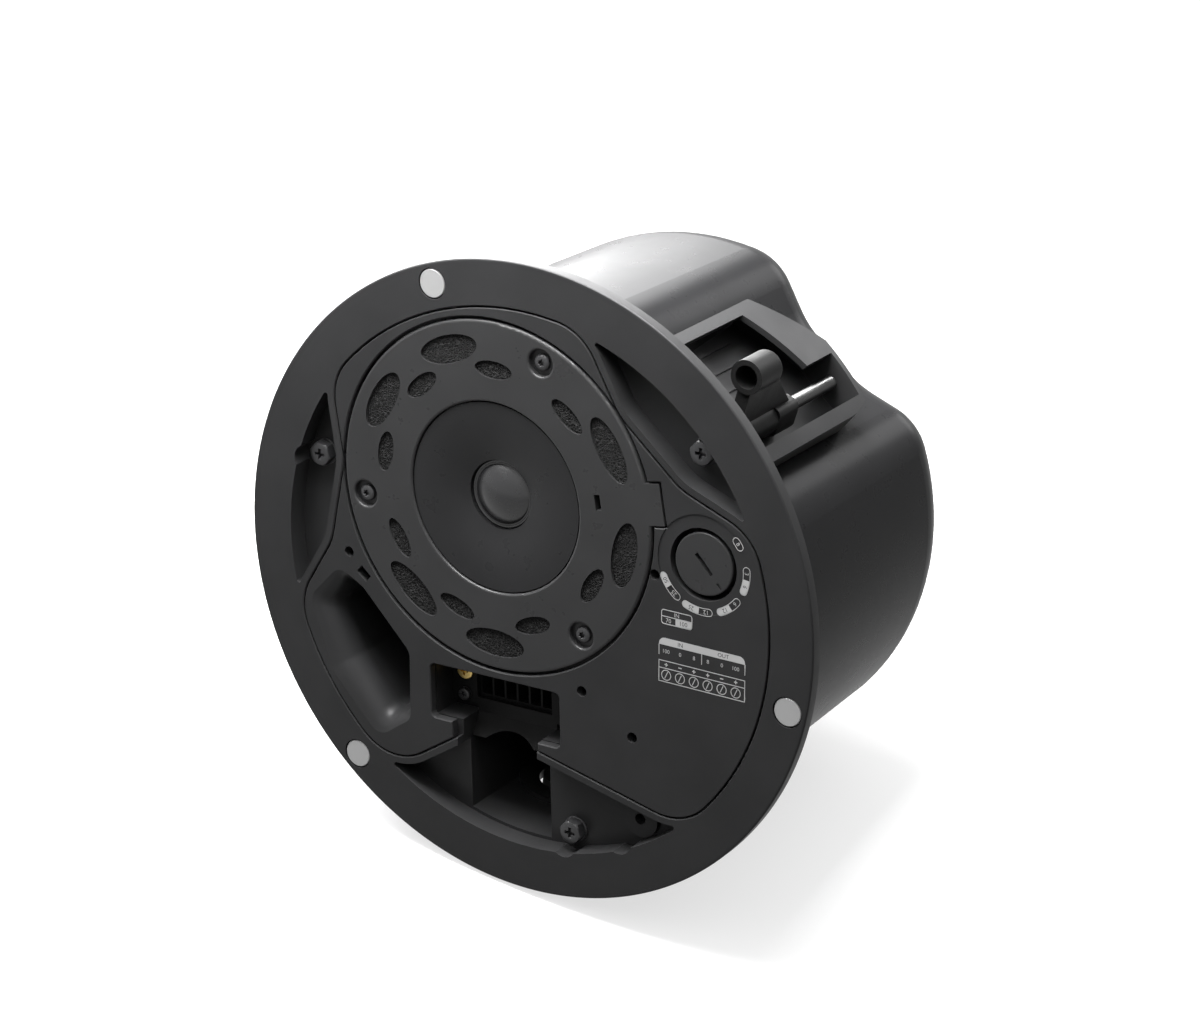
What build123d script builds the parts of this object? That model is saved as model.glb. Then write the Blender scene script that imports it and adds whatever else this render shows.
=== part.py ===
from build123d import *
import math
import os

os.makedirs("parts", exist_ok=True)

# In-ceiling loudspeaker, 8 ohm / 70 V / 100 V, with a lobed steel can and three swing-out clamps.
# Millimetres. The origin is the centre of the flange's ceiling-seating face. +Z points into the
# ceiling, toward the back of the can; the front of the speaker faces -Z. +Y is the terminal side.

# Flange and skirt of the bezel
flange_radius = 112.0
flange_thickness = 4.2
flange_round = 0.6
seat_edge_round = 0.5
skirt_radius = 98.0
window_radius = 95.6
window_depth = 7.8
floor_wall = 2.2
window_tip_round = 0.9
strip_width = 2.6
notch_radius = 5.2
notch_bite = 1.6
notch_angles = (98.0, 83.5)
window_boss_place = (17.2, 86.7)
window_boss_radius = 6.7
window_boss_height = 1.6
window_boss_hole = 2.0

# Baffle outline: a circle with a shallow valley beside each clamp
baffle_radius = 95.6
baffle_thickness = 3.0
baffle_gap = 0.6
baffle_flat = 76.0
valley_half_width = 15.5
valley_slope = 20.0
valley_angles = (-30.0, 210.0)
terminal_valley = 90.0
lobe_corner = 19.0
valley_corner = 22.0
terminal_corner = 4.0
ledge_width = 4.5
baffle_edge = 0.35
side_left_far = (-104.0, 65.3)
side_left_near = (-45.2, 49.6)
side_right_near = (-12.5, 57.2)
side_right_far = (62.0, 102.4)
gasket_thickness = 0.8
gasket_width = 3.4

# Can: deep-drawn steel with the same three lobes
can_radius = 95.8
can_flat = 79.4
can_wall = 1.2
can_depth = 129.6
can_draft = 1.5
can_clearance = 0.5
can_valley_half = 13.0
can_corner = 25.0
can_valley_corner = 28.0
can_rear_round = 20.0
can_lip = 4.6
can_gasket_thickness = 0.6
can_screw_radius = 1.5
can_screw_head = 2.8
can_screw_length = 7.0
can_screw_circle = 92.4
can_screw_clearance = 0.1
can_screw_angles = (-120.0, -60.0, 0.0, 60.0, 156.0, 180.0)
lobe_angles = (-90.0, 30.0, 150.0)

# Driver group, seen from the front
driver_y = -30.8
plate_radius = 61.4
plate_thickness = 3.0
plate_edge_round = 1.1
plate_seat_edge = 0.4
plate_gap = 0.9
plate_turn = 9.0
plate_tab_reach = 66.2
plate_tab_width = 14.2
big_oval = (11.8, 4.8)
big_oval_circle = 51.9
big_oval_spread = 20.0
small_oval = (7.3, 3.1)
small_oval_circle = 44.8
small_oval_step = 40.0
slot_size = (2.2, 5.3)
slot_circle = 41.4
plate_screw_circle = 53.8
plate_screw_pocket = 4.6
plate_pocket_round = 0.8
plate_pocket_floor = 1.0
plate_screw_head = 2.9
plate_screw_radius = 1.4
screw_clearance = 0.1
foam_thickness = 2.4
foam_sink = 0.7
foam_clearance = 0.1
ledge_ring_wall = 2.5
ledge_ring_inner = 55.2
ledge_ring_outer = 64.2

# Tweeter in its dished waveguide
waveguide_radius = 33.0
waveguide_gap = 0.5
waveguide_recess = 0.8
waveguide_wall = 2.6
waveguide_flange = 3.0
dish_depth = 3.2
throat_radius = 12.2
dome_radius = 10.9
dome_height = 4.6
dome_wall = 0.35
surround_roll = 0.62
surround_lip = 1.6
tweeter_body_radius = 16.0
tweeter_body_depth = 13.0
tweeter_coil_wall = 0.6
tweeter_gap = 0.5
tweeter_magnet_radius = 8.6
tweeter_magnet_height = 4.0

# Woofer
basket_radius = 60.0
basket_flange = 2.0
basket_wall = 1.8
cone_radius = 41.5
surround_width = 8.0
surround_height = 4.0
surround_seat_depth = 9.0
cone_depth = 14.5
cone_wall = 0.7
coil_radius = 12.8
former_wall = 0.4
former_length = 17.0
winding_height = 8.0
winding_wall = 0.5
coil_clearance = 0.5
spider_radius = 24.0
spider_lip = 3.6
spider_thickness = 0.6
spider_depth = 28.0
top_plate_radius = 38.0
top_plate_thickness = 4.5
magnet_radius = 40.0
magnet_bore = 18.0
magnet_thickness = 13.0
yoke_thickness = 4.5
basket_leg_count = 4
basket_leg_width = 13.0
basket_back_depth = 34.0
travel = 3.0

# Port in the left lobe: a flared mouth that narrows to the duct
port_mouth = ((-90.6, -6.5), (-74.0, -15.5), (-66.2, -7.0), (-54.4, 18.0), (-62.5, 42.0), (-79.0, 47.0), (-91.2, 20.0))
port_throat = ((-82.6, -1.5), (-72.6, -9.6), (-67.8, -5.6), (-55.9, 18.2), (-63.4, 38.4), (-73.0, 39.6), (-81.2, 18.0))
port_corner_mouth = 5.5
port_corner_throat = 4.0
flare_depth = 10.0
flare_overrun = 0.15
port_wall = 1.8
port_collar = 6.0
duct_length = 62.0
duct_overlap = 5.0
duct_clearance = 0.2

# Tap selector
knob_center = (74.7, 0.8)
knob_radius = 10.8
knob_hole_radius = 12.4
knob_recess = 0.5
knob_height = 8.0
knob_slot = (8.6, 1.5, 1.6)
knob_slot_angle = 66.0
knob_mark_length = 2.2
knob_mark_angle = 66.0
knob_edge = 0.6
dial_step_radius = 17.0
dial_step_depth = 0.25
switch_size = 21.0
switch_height = 12.0
switch_cup_wall = 1.4
switch_shaft_radius = 3.0
switch_bush_radius = 4.6
running_clearance = 0.05

# Small holes in the baffle
pilot_holes = ((-67.7, -20.0), (13.1, 38.4), (28.1, 56.1), (55.2, 2.0))
pilot_radius = 1.9
key_slot_center = (-64.2, -11.6)
key_slot_size = (3.4, 5.0)
key_slot_turn = -30.0

# Terminal well, in a frame turned with the terminal block
well_turn = 17.5
notch_u = (-38.1, 14.8)
notch_v = (35.7, 55.8)
gate_u = (-29.4, 5.7)
gate_v = 64.0
shaft_u = (-27.4, 5.4)
shaft_v = 53.8
well_wall = 1.8
panel_depth = 12.9
panel_thickness = 2.0
shaft_depth = 56.0
notch_corner = 2.0
header_center_u = -12.2
header_center_v = 46.1
header_size = (30.4, 9.2)
header_height = 14.0
header_ways = 6
header_pitch = 5.0
header_socket = (4.2, 7.4, 9.0)
header_rim = (3.0, 2.0, 1.6)
header_clearance = 0.2
contact_size = (1.4, 0.8, 4.6)
ground_screw_uv = (-31.6, 41.4)
ground_screw_height = 1.9
panel_screw_uv = (-32.4, 50.4)
panel_screw_head = 2.3
panel_screw_radius = 1.2
apron_start = 56.0
apron_end = 63.2
apron_rise = 4.6
apron_arch = 15.4
apron_arch_uv = (-11.5, 75.0)
ground_screw_head = 3.2
ground_screw_radius = 1.6
outlet_angle = 116.4
outlet_depth = 44.8
outlet_radius = 8.4
outlet_boss = 15.6
outlet_boss_height = 1.6
plug_radius = 7.7
plug_shift = (-0.45, 0.45)
plug_flange = 1.4
plug_wall = 1.5
plug_seat_shift = (-2.7, 2.7)
clamp_bar = (27.0, 7.0, 4.0)
clamp_bar_groove = 2.6
clamp_bar_depth = 44.0
clamp_screw_small = 1.6

# Clamp towers
clamp_angles = (-30.0, 90.0, 210.0)
tower_radius = 96.2
tower_wall = 2.2
tower_half_width = 26.4
tower_back = 79.9
tower_depth = 87.1
tower_cheek_depth = 72.5
tower_heel = 2.4
tower_heel_depth = 78.0
bay_left = -21.8
bay_step = 4.6
bay_right = 21.3
bay_front = 8.0
ramp_low = 61.9
ramp_high = 68.3
bay_end = 84.8
bay_ribs = (-18.6, -11.2, -4.0)
bay_rib_width = 1.2
bay_rib_height = 0.6

# Clamp screw, nut and arm
pivot_d = 88.9
pivot_s = 11.65
screw_radius = 2.5
screw_pitch = 0.8
screw_hole_radius = 2.8
screw_end = 84.1
hex_flats = 7.8
hex_height = 3.6
hex_washer = 0.7
hex_washer_radius = 4.6
recess_width = 1.1
recess_length = 4.6
recess_depth = 1.6
nut_radius = 4.0
nut_flange_radius = 4.9
nut_flange = 1.2
arm_front = 17.2
hub_front = 19.4
hub_radius = 5.4
hub_end = 51.8
hub_block = 10.5
hub_block_corner = 2.5
hub_block_start = 39.5
arm_length = 22.4
arm_rest_angle = -26.0
web_thickness = 4.6
web_heel = 49.0
foot_radius = 5.8
foot_length = 13.8
foot_bore = 4.0
foot_bore_depth = 9.0

# Grille magnets in the flange
magnet_circle = 105.0
grille_magnet_radius = 5.0
grille_magnet_thickness = 2.6
grille_magnet_gap = 0.35

# Electrical pieces inside the can
transformer_center = (38.0, 22.0)
transformer_stack = (34.0, 22.0, 30.0)
transformer_window = (5.5, 14.0)
coil_overhang = 7.0
bracket_wall = 1.2
bracket_tab = 8.0
board_center = (-38.0, 18.0)
board_size = (46.0, 34.0, 1.6)
board_standoff = 5.0
standoff_radius = 2.6
inductor_radius = 10.0
inductor_height = 12.0
capacitor_radius = 5.5
capacitor_length = 20.0
pad_radius = 32.0
pad_thickness = 10.0
pad_center = (-4.0, -36.0)

front = -flange_thickness
seat = front + baffle_thickness
ledge = seat + gasket_thickness
skirt_back = front + window_depth + floor_wall
window_floor = front + window_depth
can_start = skirt_back + can_gasket_thickness
can_floor = can_depth - can_wall
panel_front = front + panel_depth
tweeter_seat = seat + waveguide_wall
knob_back = front + knob_recess + knob_height
tiny = 0.02


def polar(radius, degrees):
    """Point on a circle about the origin."""
    angle = math.radians(degrees)
    return radius * math.cos(angle), radius * math.sin(angle)


def polygon(points):
    """Face bounded by straight lines through the points."""
    return make_face(Polyline(*points, close=True))


def prism(face, bottom, top):
    """Extrude an XY face between two heights."""
    return Pos(0, 0, bottom) * extrude(face, top - bottom)


def rounded_front(face, back, radius):
    """Prism from the front face back with a rounded front edge."""
    body = prism(face, front, back)
    return fillet(body.edges().group_by(Axis.Z)[0], radius)


def bevelled_cut(face, back, bevel):
    """Cut from the front face back that is wider at the front."""
    cut = prism(face, front, back)
    wide = offset(face, bevel, kind=Kind.INTERSECTION)
    for outer, inner in zip(wide.faces(), face.faces()):
        cut += loft([Pos(0, 0, front) * outer, Pos(0, 0, front + bevel) * inner], ruled=True)
    return cut


def tube(outer, inner, bottom, top):
    """Plain ring about the Z axis."""
    return prism(Circle(outer) - Circle(inner), bottom, top)


def at_driver(shape):
    """Move a shape from the Z axis to the driver's axis."""
    return Pos(0, driver_y, 0) * shape


def box_between(u, v, z):
    """Box between two limits on each axis."""
    size = [b - a for a, b in (u, v, z)]
    middle = [(a + b) / 2 for a, b in (u, v, z)]
    return Pos(*middle) * Box(*size)


def in_well(shape):
    """Turn a shape into the terminal well's frame."""
    return Rot(0, 0, well_turn) * shape


def in_valley(angle, shape):
    """Turn a shape so that its +X points out through one valley."""
    return Rot(0, 0, angle) * shape


def valley_cut(angle, flat, half, radius):
    """Trapezoid that takes one valley out of a circle."""
    reach = 0.5 * radius
    rise = reach * math.tan(math.radians(valley_slope))
    corners = [(flat, -half), (flat, half), (flat + rise, half + reach)]
    corners += [(2 * radius, half + reach), (2 * radius, -half - reach), (flat + rise, -half - reach)]
    return in_valley(angle, polygon(corners))


def rounded_lobes(face, radius, outer_round, inner_round):
    """Round the corners of a lobed face: those on the circle and those at the valleys' ends."""
    outer = [v for v in face.vertices() if math.hypot(v.X, v.Y) > radius - tiny]
    face = fillet(outer, outer_round)
    inner = [v for v in face.vertices() if is_valley_corner(v, radius)]
    return fillet(inner, inner_round) if inner else face


def is_valley_corner(vertex, radius):
    """True for a corner between a valley's flat and its slope."""
    for angle in clamp_angles:
        out_x, out_y = polar(1.0, angle)
        depth = vertex.X * out_x + vertex.Y * out_y
        side = abs(vertex.Y * out_x - vertex.X * out_y)
        for flat, half in ((baffle_flat, valley_half_width), (can_flat, can_valley_half)):
            if abs(depth - flat) < tiny and abs(side - half) < tiny:
                return True
    return False


def terminal_side_cut():
    """Area beside the terminal well that belongs to the bottom window."""
    far = 1.25 * flange_radius
    corners = [side_left_far, side_left_near, side_right_near, side_right_far]
    return polygon(corners + [(side_right_far[0], far), (side_left_far[0], far)])


def baffle_outline():
    """Front outline of the baffle: three lobes, two clamp valleys and the terminal side."""
    face = Circle(baffle_radius)
    for angle in valley_angles:
        face -= valley_cut(angle, baffle_flat, valley_half_width, baffle_radius)
    face -= terminal_side_cut()
    return rounded_lobes(face, baffle_radius, lobe_corner, valley_corner)


outline = baffle_outline()
opening = offset(outline, baffle_gap)
strip_edge = offset(outline, baffle_gap + strip_width)
ledge_edge = offset(outline, -ledge_width)


def notch_area():
    """U-shaped cut-out of the baffle above the terminals, open toward the bottom window."""
    (u0, u1), (v0, v1) = notch_u, notch_v
    notch = Pos((u0 + u1) / 2, (v0 + v1) / 2) * Rectangle(u1 - u0, v1 - v0)
    notch = fillet(notch.vertices(), notch_corner)
    gate = Pos(sum(gate_u) / 2, (v1 + gate_v) / 2 - notch_corner) * Rectangle(
        gate_u[1] - gate_u[0], gate_v - v1 + 2 * notch_corner)
    return in_well(notch + gate)


def window_area():
    """Three windows between the baffle's strip and the flange, with their small bulges."""
    area = Circle(window_radius) - strip_edge
    area = fillet([v for v in area.vertices() if math.hypot(v.X, v.Y) > window_radius - 1.0], window_tip_round)
    for angle in notch_angles:
        x, y = polar(window_radius + notch_bite - notch_radius, angle)
        area += Pos(x, y) * Circle(notch_radius)
    side_turn = clamp_angles[2] + 6.0
    x, y = polar(window_radius + notch_bite - notch_radius, side_turn)
    return area + Pos(x, y) * Circle(notch_radius)


def well_void():
    """Space inside the terminal well: the shallow part over the panel and the cable shaft."""
    shaft = box_between(shaft_u, (shaft_v, window_radius), (front, front + shaft_depth))
    recess = box_between(notch_u, notch_v, (seat, panel_front + panel_thickness))
    reach = Cylinder(tower_radius - well_wall, 3 * shaft_depth)
    return in_well(shaft & reach) + in_well(recess)


def well_shell():
    """Outside of the terminal well's walls."""
    grow = well_wall
    shaft = box_between((shaft_u[0] - grow, shaft_u[1] + grow), (shaft_v - grow, window_radius + grow),
                        (ledge, front + shaft_depth + grow))
    recess = box_between((notch_u[0] - grow, notch_u[1] + grow), (notch_v[0] - grow, notch_v[1] + grow),
                         (seat, panel_front + panel_thickness + grow))
    reach = Cylinder(tower_radius, 3 * shaft_depth)
    return in_well(shaft & reach) + in_well(recess)


def panel_relief():
    """Opening in the well's inner floor behind the terminal panel."""
    u = (header_center_u - header_size[0] / 2 - 9, header_center_u + header_size[0] / 2 + 3)
    v = (header_center_v - header_size[1] / 2 - 2, header_center_v + header_size[1] / 2 + 2)
    return in_well(box_between(u, v, (panel_front, panel_front + 4 * panel_thickness)))


def toward_outlet(radius, inner, outer, shift=(0, 0)):
    """Cylinder along the cable outlet's axis, between two distances from the speaker's axis."""
    across, back = shift
    rod = Pos(inner, across, front + outlet_depth + back) * Rot(0, 90, 0) * Cylinder(
        radius, outer - inner, align=(Align.CENTER, Align.CENTER, Align.MIN))
    return Rot(0, 0, outlet_angle) * rod


def outlet_rim():
    """Raised rim round the cable outlet on the inside of the well's outer wall."""
    inner = tower_radius - well_wall - outlet_boss_height
    rim = toward_outlet(outlet_boss, inner - outlet_boss_height, tower_radius)
    rim = rim & (Cylinder(tower_radius, 3 * shaft_depth) - Cylinder(inner, 3 * shaft_depth))
    room = box_between((shaft_u[0] - tiny, shaft_u[1] + tiny), (shaft_v, tower_radius), (0, front + shaft_depth))
    return rim & in_well(room)


def tower_profile():
    """Side profile of a clamp tower: across the valley, and back from the skirt."""
    wide = tower_half_width
    return [(-wide, skirt_back), (-wide, tower_cheek_depth), (0.0, tower_depth),
            (wide - tower_heel, tower_depth), (wide, tower_heel_depth), (wide, skirt_back)]


def across_valley(points, start, end):
    """Extrude a profile given as (across, back) outward between two distances from the axis."""
    plane = Plane(origin=(start, 0, 0), x_dir=(0, 1, 0), z_dir=(1, 0, 0))
    return extrude(plane * polygon(points), end - start)


def can_room():
    """Space kept free for the can behind the skirt."""
    return can_body(-can_clearance, skirt_back, can_depth + can_rear_round)


def clamp_tower(angle):
    """One clamp tower: a frame with an L-shaped bay in its outer wall."""
    shell = across_valley(tower_profile(), tower_back, tower_radius + 4)
    shell = shell & Cylinder(tower_radius, 3 * tower_depth)
    inset = offset(polygon(tower_profile()), -tower_wall)
    inner_points = [(v.X, v.Y) for v in order_corners(inset)]
    cavity = across_valley(inner_points, tower_back + tower_wall, tower_radius)
    cavity = cavity & Cylinder(tower_radius - tower_wall, 3 * tower_depth)
    bay = [(bay_left, bay_front), (bay_right, bay_front), (bay_right, bay_end), (bay_step, bay_end)]
    bay += [(bay_step, ramp_high), (bay_left, ramp_low)]
    bay_cut = across_valley(bay, tower_back + tower_wall, tower_radius + 6)
    frame = shell - cavity - bay_cut
    wall = tower_back + tower_wall
    for place in bay_ribs:
        sides = (place - bay_rib_width / 2, place + bay_rib_width / 2)
        frame += box_between((wall - tiny, wall + bay_rib_height), sides, (skirt_back + tower_wall, ramp_low))
    frame = in_valley(angle, frame) - can_room() - well_shell()
    x, y = clamp_place(angle)
    frame -= Pos(x, y, 0) * Cylinder(screw_hole_radius, 2 * (bay_front + tower_wall))
    return largest_pieces(frame)


def order_corners(face):
    """Corners of a convex face in order around its centre."""
    center = face.center()
    return sorted(face.vertices(), key=lambda v: math.atan2(v.Y - center.Y, v.X - center.X))


def clamp_place(angle):
    """Axis of one clamp screw on the XY plane."""
    x, y = polar(pivot_d, angle)
    side_x, side_y = polar(pivot_s, angle + 90)
    return x + side_x, y + side_y


def magnet_places():
    """Centres of the grille magnets."""
    return [polar(magnet_circle, angle) for angle in lobe_angles]


def can_screw_places():
    """Two screws in each lobe hold the can's lip."""
    return [polar(can_screw_circle, angle) for angle in can_screw_angles]


def bezel():
    """Moulded bezel: flange, skirt, the ledge under the baffle and three windows."""
    flange = Cylinder(flange_radius, flange_thickness, align=(Align.CENTER, Align.CENTER, Align.MAX))
    flange = fillet(flange.edges().group_by(Axis.Z)[0], flange_round)
    flange = fillet(flange.edges().group_by(Axis.Z)[-1], seat_edge_round)
    body = flange + prism(Circle(skirt_radius), -flange_thickness / 2, skirt_back)
    body -= bevelled_cut(opening, ledge, baffle_edge)
    body -= prism(ledge_edge - notch_shadow(), front, skirt_back + tiny)
    body -= prism(window_area(), front, window_floor)
    x, y = window_boss_place
    body += Pos(x, y, window_floor - window_boss_height) * Cylinder(
        window_boss_radius, window_boss_height + floor_wall, align=(Align.CENTER, Align.CENTER, Align.MIN))
    body -= Pos(x, y, 0) * Cylinder(window_boss_hole, 2 * (skirt_back + tiny))
    body -= well_void()
    body -= panel_relief()
    ring_room = Circle(ledge_ring_outer + plate_gap)
    body -= prism(at_driver(ring_room) & offset(outline, baffle_gap / 2), seat, skirt_back + tiny)
    kx, ky = knob_center
    body -= Pos(kx, ky, 0) * Cylinder(knob_hole_radius + switch_cup_wall + baffle_gap, 2 * skirt_back)
    for x, y in magnet_places():
        pocket = grille_magnet_radius + grille_magnet_gap
        body -= Pos(x, y, front) * Cylinder(pocket, 2 * grille_magnet_thickness)
    for x, y in can_screw_places():
        body -= Pos(x, y, 0) * Cylinder(can_screw_radius + can_screw_clearance, 3 * skirt_back)
        body -= Pos(x, y, ledge) * Cylinder(can_screw_head + 2 * can_screw_clearance, 2 * can_screw_radius)
    for angle in clamp_angles:
        x, y = clamp_place(angle)
        body -= Pos(x, y, 0) * Cylinder(screw_hole_radius, 2 * bay_front)
    return largest_pieces(body)


def terminal_well():
    """Moulded well behind the skirt: the walls round the terminals and the cable shaft."""
    behind = Pos(0, 0, skirt_back) * Cylinder(
        skirt_radius, 2 * shaft_depth, align=(Align.CENTER, Align.CENTER, Align.MIN))
    body = (well_shell() & behind) - at_driver(Cylinder(ledge_ring_inner, 2 * shaft_depth))
    body -= well_void()
    body += outlet_rim()
    body -= panel_relief()
    body -= toward_outlet(outlet_radius, shaft_v, 2 * tower_radius)
    return largest_pieces(body)


def outlet_plug():
    """Soft plug in the cable outlet; a thin crescent stays open beside it."""
    wall = tower_radius - well_wall - outlet_boss_height
    plug = toward_outlet(plug_radius, wall - plug_wall, tower_radius, plug_shift)
    flange = toward_outlet(plug_radius + plug_flange, wall - plug_wall, wall + plug_wall, plug_shift)
    seat_side = toward_outlet(outlet_radius, wall - 2 * plug_wall, wall + plug_wall, plug_seat_shift)
    flange = flange & seat_side & Cylinder(wall, 3 * shaft_depth)
    return largest_pieces((plug & Cylinder(tower_radius, 3 * shaft_depth)) + flange)


def notch_shadow():
    """Plan of the terminal well, which keeps its own walls inside the ledge's opening."""
    (u0, u1), (v0, v1) = notch_u, notch_v
    grow = well_wall
    wide = Pos((u0 + u1) / 2, (v0 + v1) / 2) * Rectangle(u1 - u0 + 2 * grow, v1 - v0 + 2 * grow)
    deep = Pos(sum(shaft_u) / 2, (shaft_v + window_radius) / 2) * Rectangle(
        shaft_u[1] - shaft_u[0] + 2 * grow, window_radius - shaft_v + 2 * grow)
    return in_well(wide + deep)


def can_profile(shrink):
    """Plan of the can, shrunk by the wall where the inside is wanted."""
    face = Circle(can_radius)
    for angle in clamp_angles:
        face -= valley_cut(angle, can_flat, can_valley_half, can_radius)
    face = rounded_lobes(face, can_radius, can_corner, can_valley_corner)
    return offset(face, -shrink) if shrink else face


def can_body(shrink, bottom, top):
    """Lobed, drafted body with a rounded closed end."""
    body = Pos(0, 0, bottom) * extrude(can_profile(shrink), top - bottom, taper=can_draft)
    rear = body.edges().group_by(Axis.Z)[-1]
    return fillet(rear, can_rear_round - shrink)


def back_can():
    """Deep-drawn steel can with an inward lip and a slot for the terminal well."""
    can = can_body(0, can_start, can_depth) - can_body(can_wall, can_start - tiny, can_floor)
    lip = prism(can_profile(can_wall / 2), can_start, can_start + can_wall)
    lip -= prism(can_profile(can_wall + can_lip), can_start - 1, can_start + 2 * can_wall)
    can += lip
    u0, u1 = shaft_u[0] - 2 * well_wall, shaft_u[1] + 2 * well_wall
    can -= in_well(box_between((u0, u1), (notch_v[0], 2 * can_radius),
                               (0, front + shaft_depth + 2 * well_wall)))
    wide0, wide1 = notch_u[0] - 2 * well_wall, notch_u[1] + 2 * well_wall
    can -= in_well(box_between((wide0, wide1), (notch_v[0] - 4, notch_v[1] + 2 * well_wall),
                               (0, panel_front + panel_thickness + 2 * well_wall)))
    for x, y in can_screw_places():
        can -= Pos(x, y, can_start) * Cylinder(can_screw_radius + 0.1, 6)
    return can


def can_gasket():
    """Foam gasket between the skirt and the can's lip."""
    ring = can_profile(can_wall) - can_profile(can_wall + can_lip)
    gasket = prism(ring, skirt_back, can_start)
    gasket -= in_well(box_between((notch_u[0] - 4, notch_u[1] + 4), (notch_v[0], 2 * can_radius), (0, 60)))
    for x, y in can_screw_places():
        gasket -= Pos(x, y, can_start) * Cylinder(can_screw_radius + 0.1, 6)
    return largest_pieces(gasket)


def largest_pieces(shape):
    """Drop slivers that a cut leaves behind."""
    solids = sorted(shape.solids(), key=lambda s: s.volume)
    keep = [s for s in solids if s.volume > 0.05 * solids[-1].volume]
    return keep[0] if len(keep) == 1 else Compound(children=keep)


def can_screws():
    """Six screws that pull the can's lip against the skirt."""
    screws = []
    for x, y in can_screw_places():
        head_top = ledge + can_screw_radius
        screw = Pos(x, y, head_top - can_screw_radius) * Cylinder(
            can_screw_head, can_screw_radius, align=(Align.CENTER, Align.CENTER, Align.MIN))
        screw += Pos(x, y, head_top) * Cylinder(
            can_screw_radius, skirt_back + can_screw_length - head_top,
            align=(Align.CENTER, Align.CENTER, Align.MIN))
        screws.append(screw.solids()[0])
    return Compound(children=screws)


def port_section(blend, grow, height):
    """One closed section of the port between its mouth and its throat."""
    points = []
    for (mx, my), (tx, ty) in zip(port_mouth, port_throat):
        points.append((mx + (tx - mx) * blend, my + (ty - my) * blend))
    corner = port_corner_mouth + (port_corner_throat - port_corner_mouth) * blend
    face = polygon(points)
    face = fillet(face.vertices(), corner)
    if grow:
        face = offset(face, grow)
    return Pos(0, 0, height) * face


def port_flare(grow):
    """Quarter-round flare of the port, from just before the front face down to the throat."""
    sections = [port_section(-flare_overrun, grow, front - flare_overrun * flare_depth / 3)]
    for angle in (0, 25, 50, 70, 90):
        turn = math.radians(angle)
        sections.append(port_section(math.sin(turn), grow, front + flare_depth * (1 - math.cos(turn))))
    return loft(sections, ruled=False)


def baffle():
    """Moulded baffle with the flared port, the driver's seat and the selector's hole."""
    plate = rounded_front(outline, seat, baffle_edge)
    plate -= bevelled_cut(notch_area(), seat + tiny, baffle_edge)
    flare = port_flare(0)
    throat_bottom = front + flare_depth
    ahead = Pos(0, 0, seat) * Cylinder(flange_radius, 4 * baffle_thickness, align=(Align.CENTER, Align.CENTER, Align.MAX))
    collar = port_flare(port_wall) - ahead - flare
    duct = extrude(port_section(1, port_wall, throat_bottom), port_collar)
    duct -= extrude(port_section(1, 0, throat_bottom), port_collar)
    seat_ring = Circle(ledge_ring_outer) - Circle(ledge_ring_inner)
    seat_ring = (at_driver(seat_ring) & offset(outline, -baffle_gap)) - offset(notch_shadow(), 0.3)
    body = plate - flare + collar + duct
    body += prism(seat_ring, seat - tiny, seat + ledge_ring_wall) - flare
    body -= at_driver(bevelled_cut(plate_recess(), seat, plate_seat_edge))
    body -= at_driver(Cylinder(ledge_ring_inner, 60))
    kx, ky = knob_center
    body -= Pos(kx, ky, front) * Cylinder(knob_hole_radius, 40)
    body -= Pos(kx, ky, front) * Cylinder(dial_step_radius, 2 * dial_step_depth)
    for x, y in pilot_holes:
        body -= Pos(x, y, front) * Cylinder(pilot_radius, 4 * baffle_thickness)
    sx, sy = key_slot_center
    body -= Pos(sx, sy, front) * Rot(0, 0, key_slot_turn) * Box(*key_slot_size, 2 * baffle_thickness + 1)
    for x, y in plate_screw_places():
        body -= Pos(x, y, 0) * Cylinder(plate_screw_radius, 40)
    return largest_pieces(body)


def plate_recess():
    """Round recess for the driver plate with room for its tab."""
    tab = Pos(plate_tab_reach / 2, 0) * Rectangle(plate_tab_reach, plate_tab_width + 2 * baffle_gap)
    reach = Rot(0, 0, plate_turn) * (tab + Pos(baffle_gap, 0) * tab)
    return Circle(plate_radius + plate_gap) + reach


def plate_screw_places():
    """Three screws, a third of a turn apart."""
    places = []
    for step in range(3):
        x, y = polar(plate_screw_circle, plate_turn + 60 + 120 * step)
        places.append((x, y + driver_y))
    return places


def driver_plate():
    """Front plate of the coaxial driver with its ring of oval openings."""
    tab = Pos(plate_tab_reach / 2, 0) * Rectangle(plate_tab_reach, plate_tab_width)
    disc = prism(Circle(plate_radius), front, seat)
    disc = fillet(disc.edges().group_by(Axis.Z)[0], plate_edge_round)
    disc += Rot(0, 0, plate_turn) * prism(tab, front, seat)
    holes = Sketch() + oval_faces(0)
    slot_x, slot_y = polar(slot_circle, plate_turn)
    holes += Pos(slot_x, slot_y) * Rot(0, 0, plate_turn) * Rectangle(*slot_size)
    disc -= prism(holes, front - 1, seat + 1)
    disc -= prism(Circle(waveguide_radius + waveguide_gap), front - 1, seat + 1)
    inner = disc.edges().filter_by(GeomType.CIRCLE).filter_by(
        lambda e: abs(e.radius - waveguide_radius - waveguide_gap) < tiny).group_by(Axis.Z)[0]
    disc = fillet(inner, waveguide_recess)
    disc = at_driver(disc)
    for x, y in plate_screw_places():
        disc -= Pos(x, y, front) * Cylinder(plate_screw_pocket, 2 * (plate_thickness - plate_pocket_floor))
        disc -= Pos(x, y, 0) * Cylinder(plate_screw_radius + screw_clearance, 4 * plate_thickness)
    lips = disc.edges().filter_by(GeomType.CIRCLE).filter_by(
        lambda e: abs(e.radius - plate_screw_pocket) < tiny and e.center().Z < front + tiny)
    return fillet(lips, plate_pocket_round)


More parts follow.
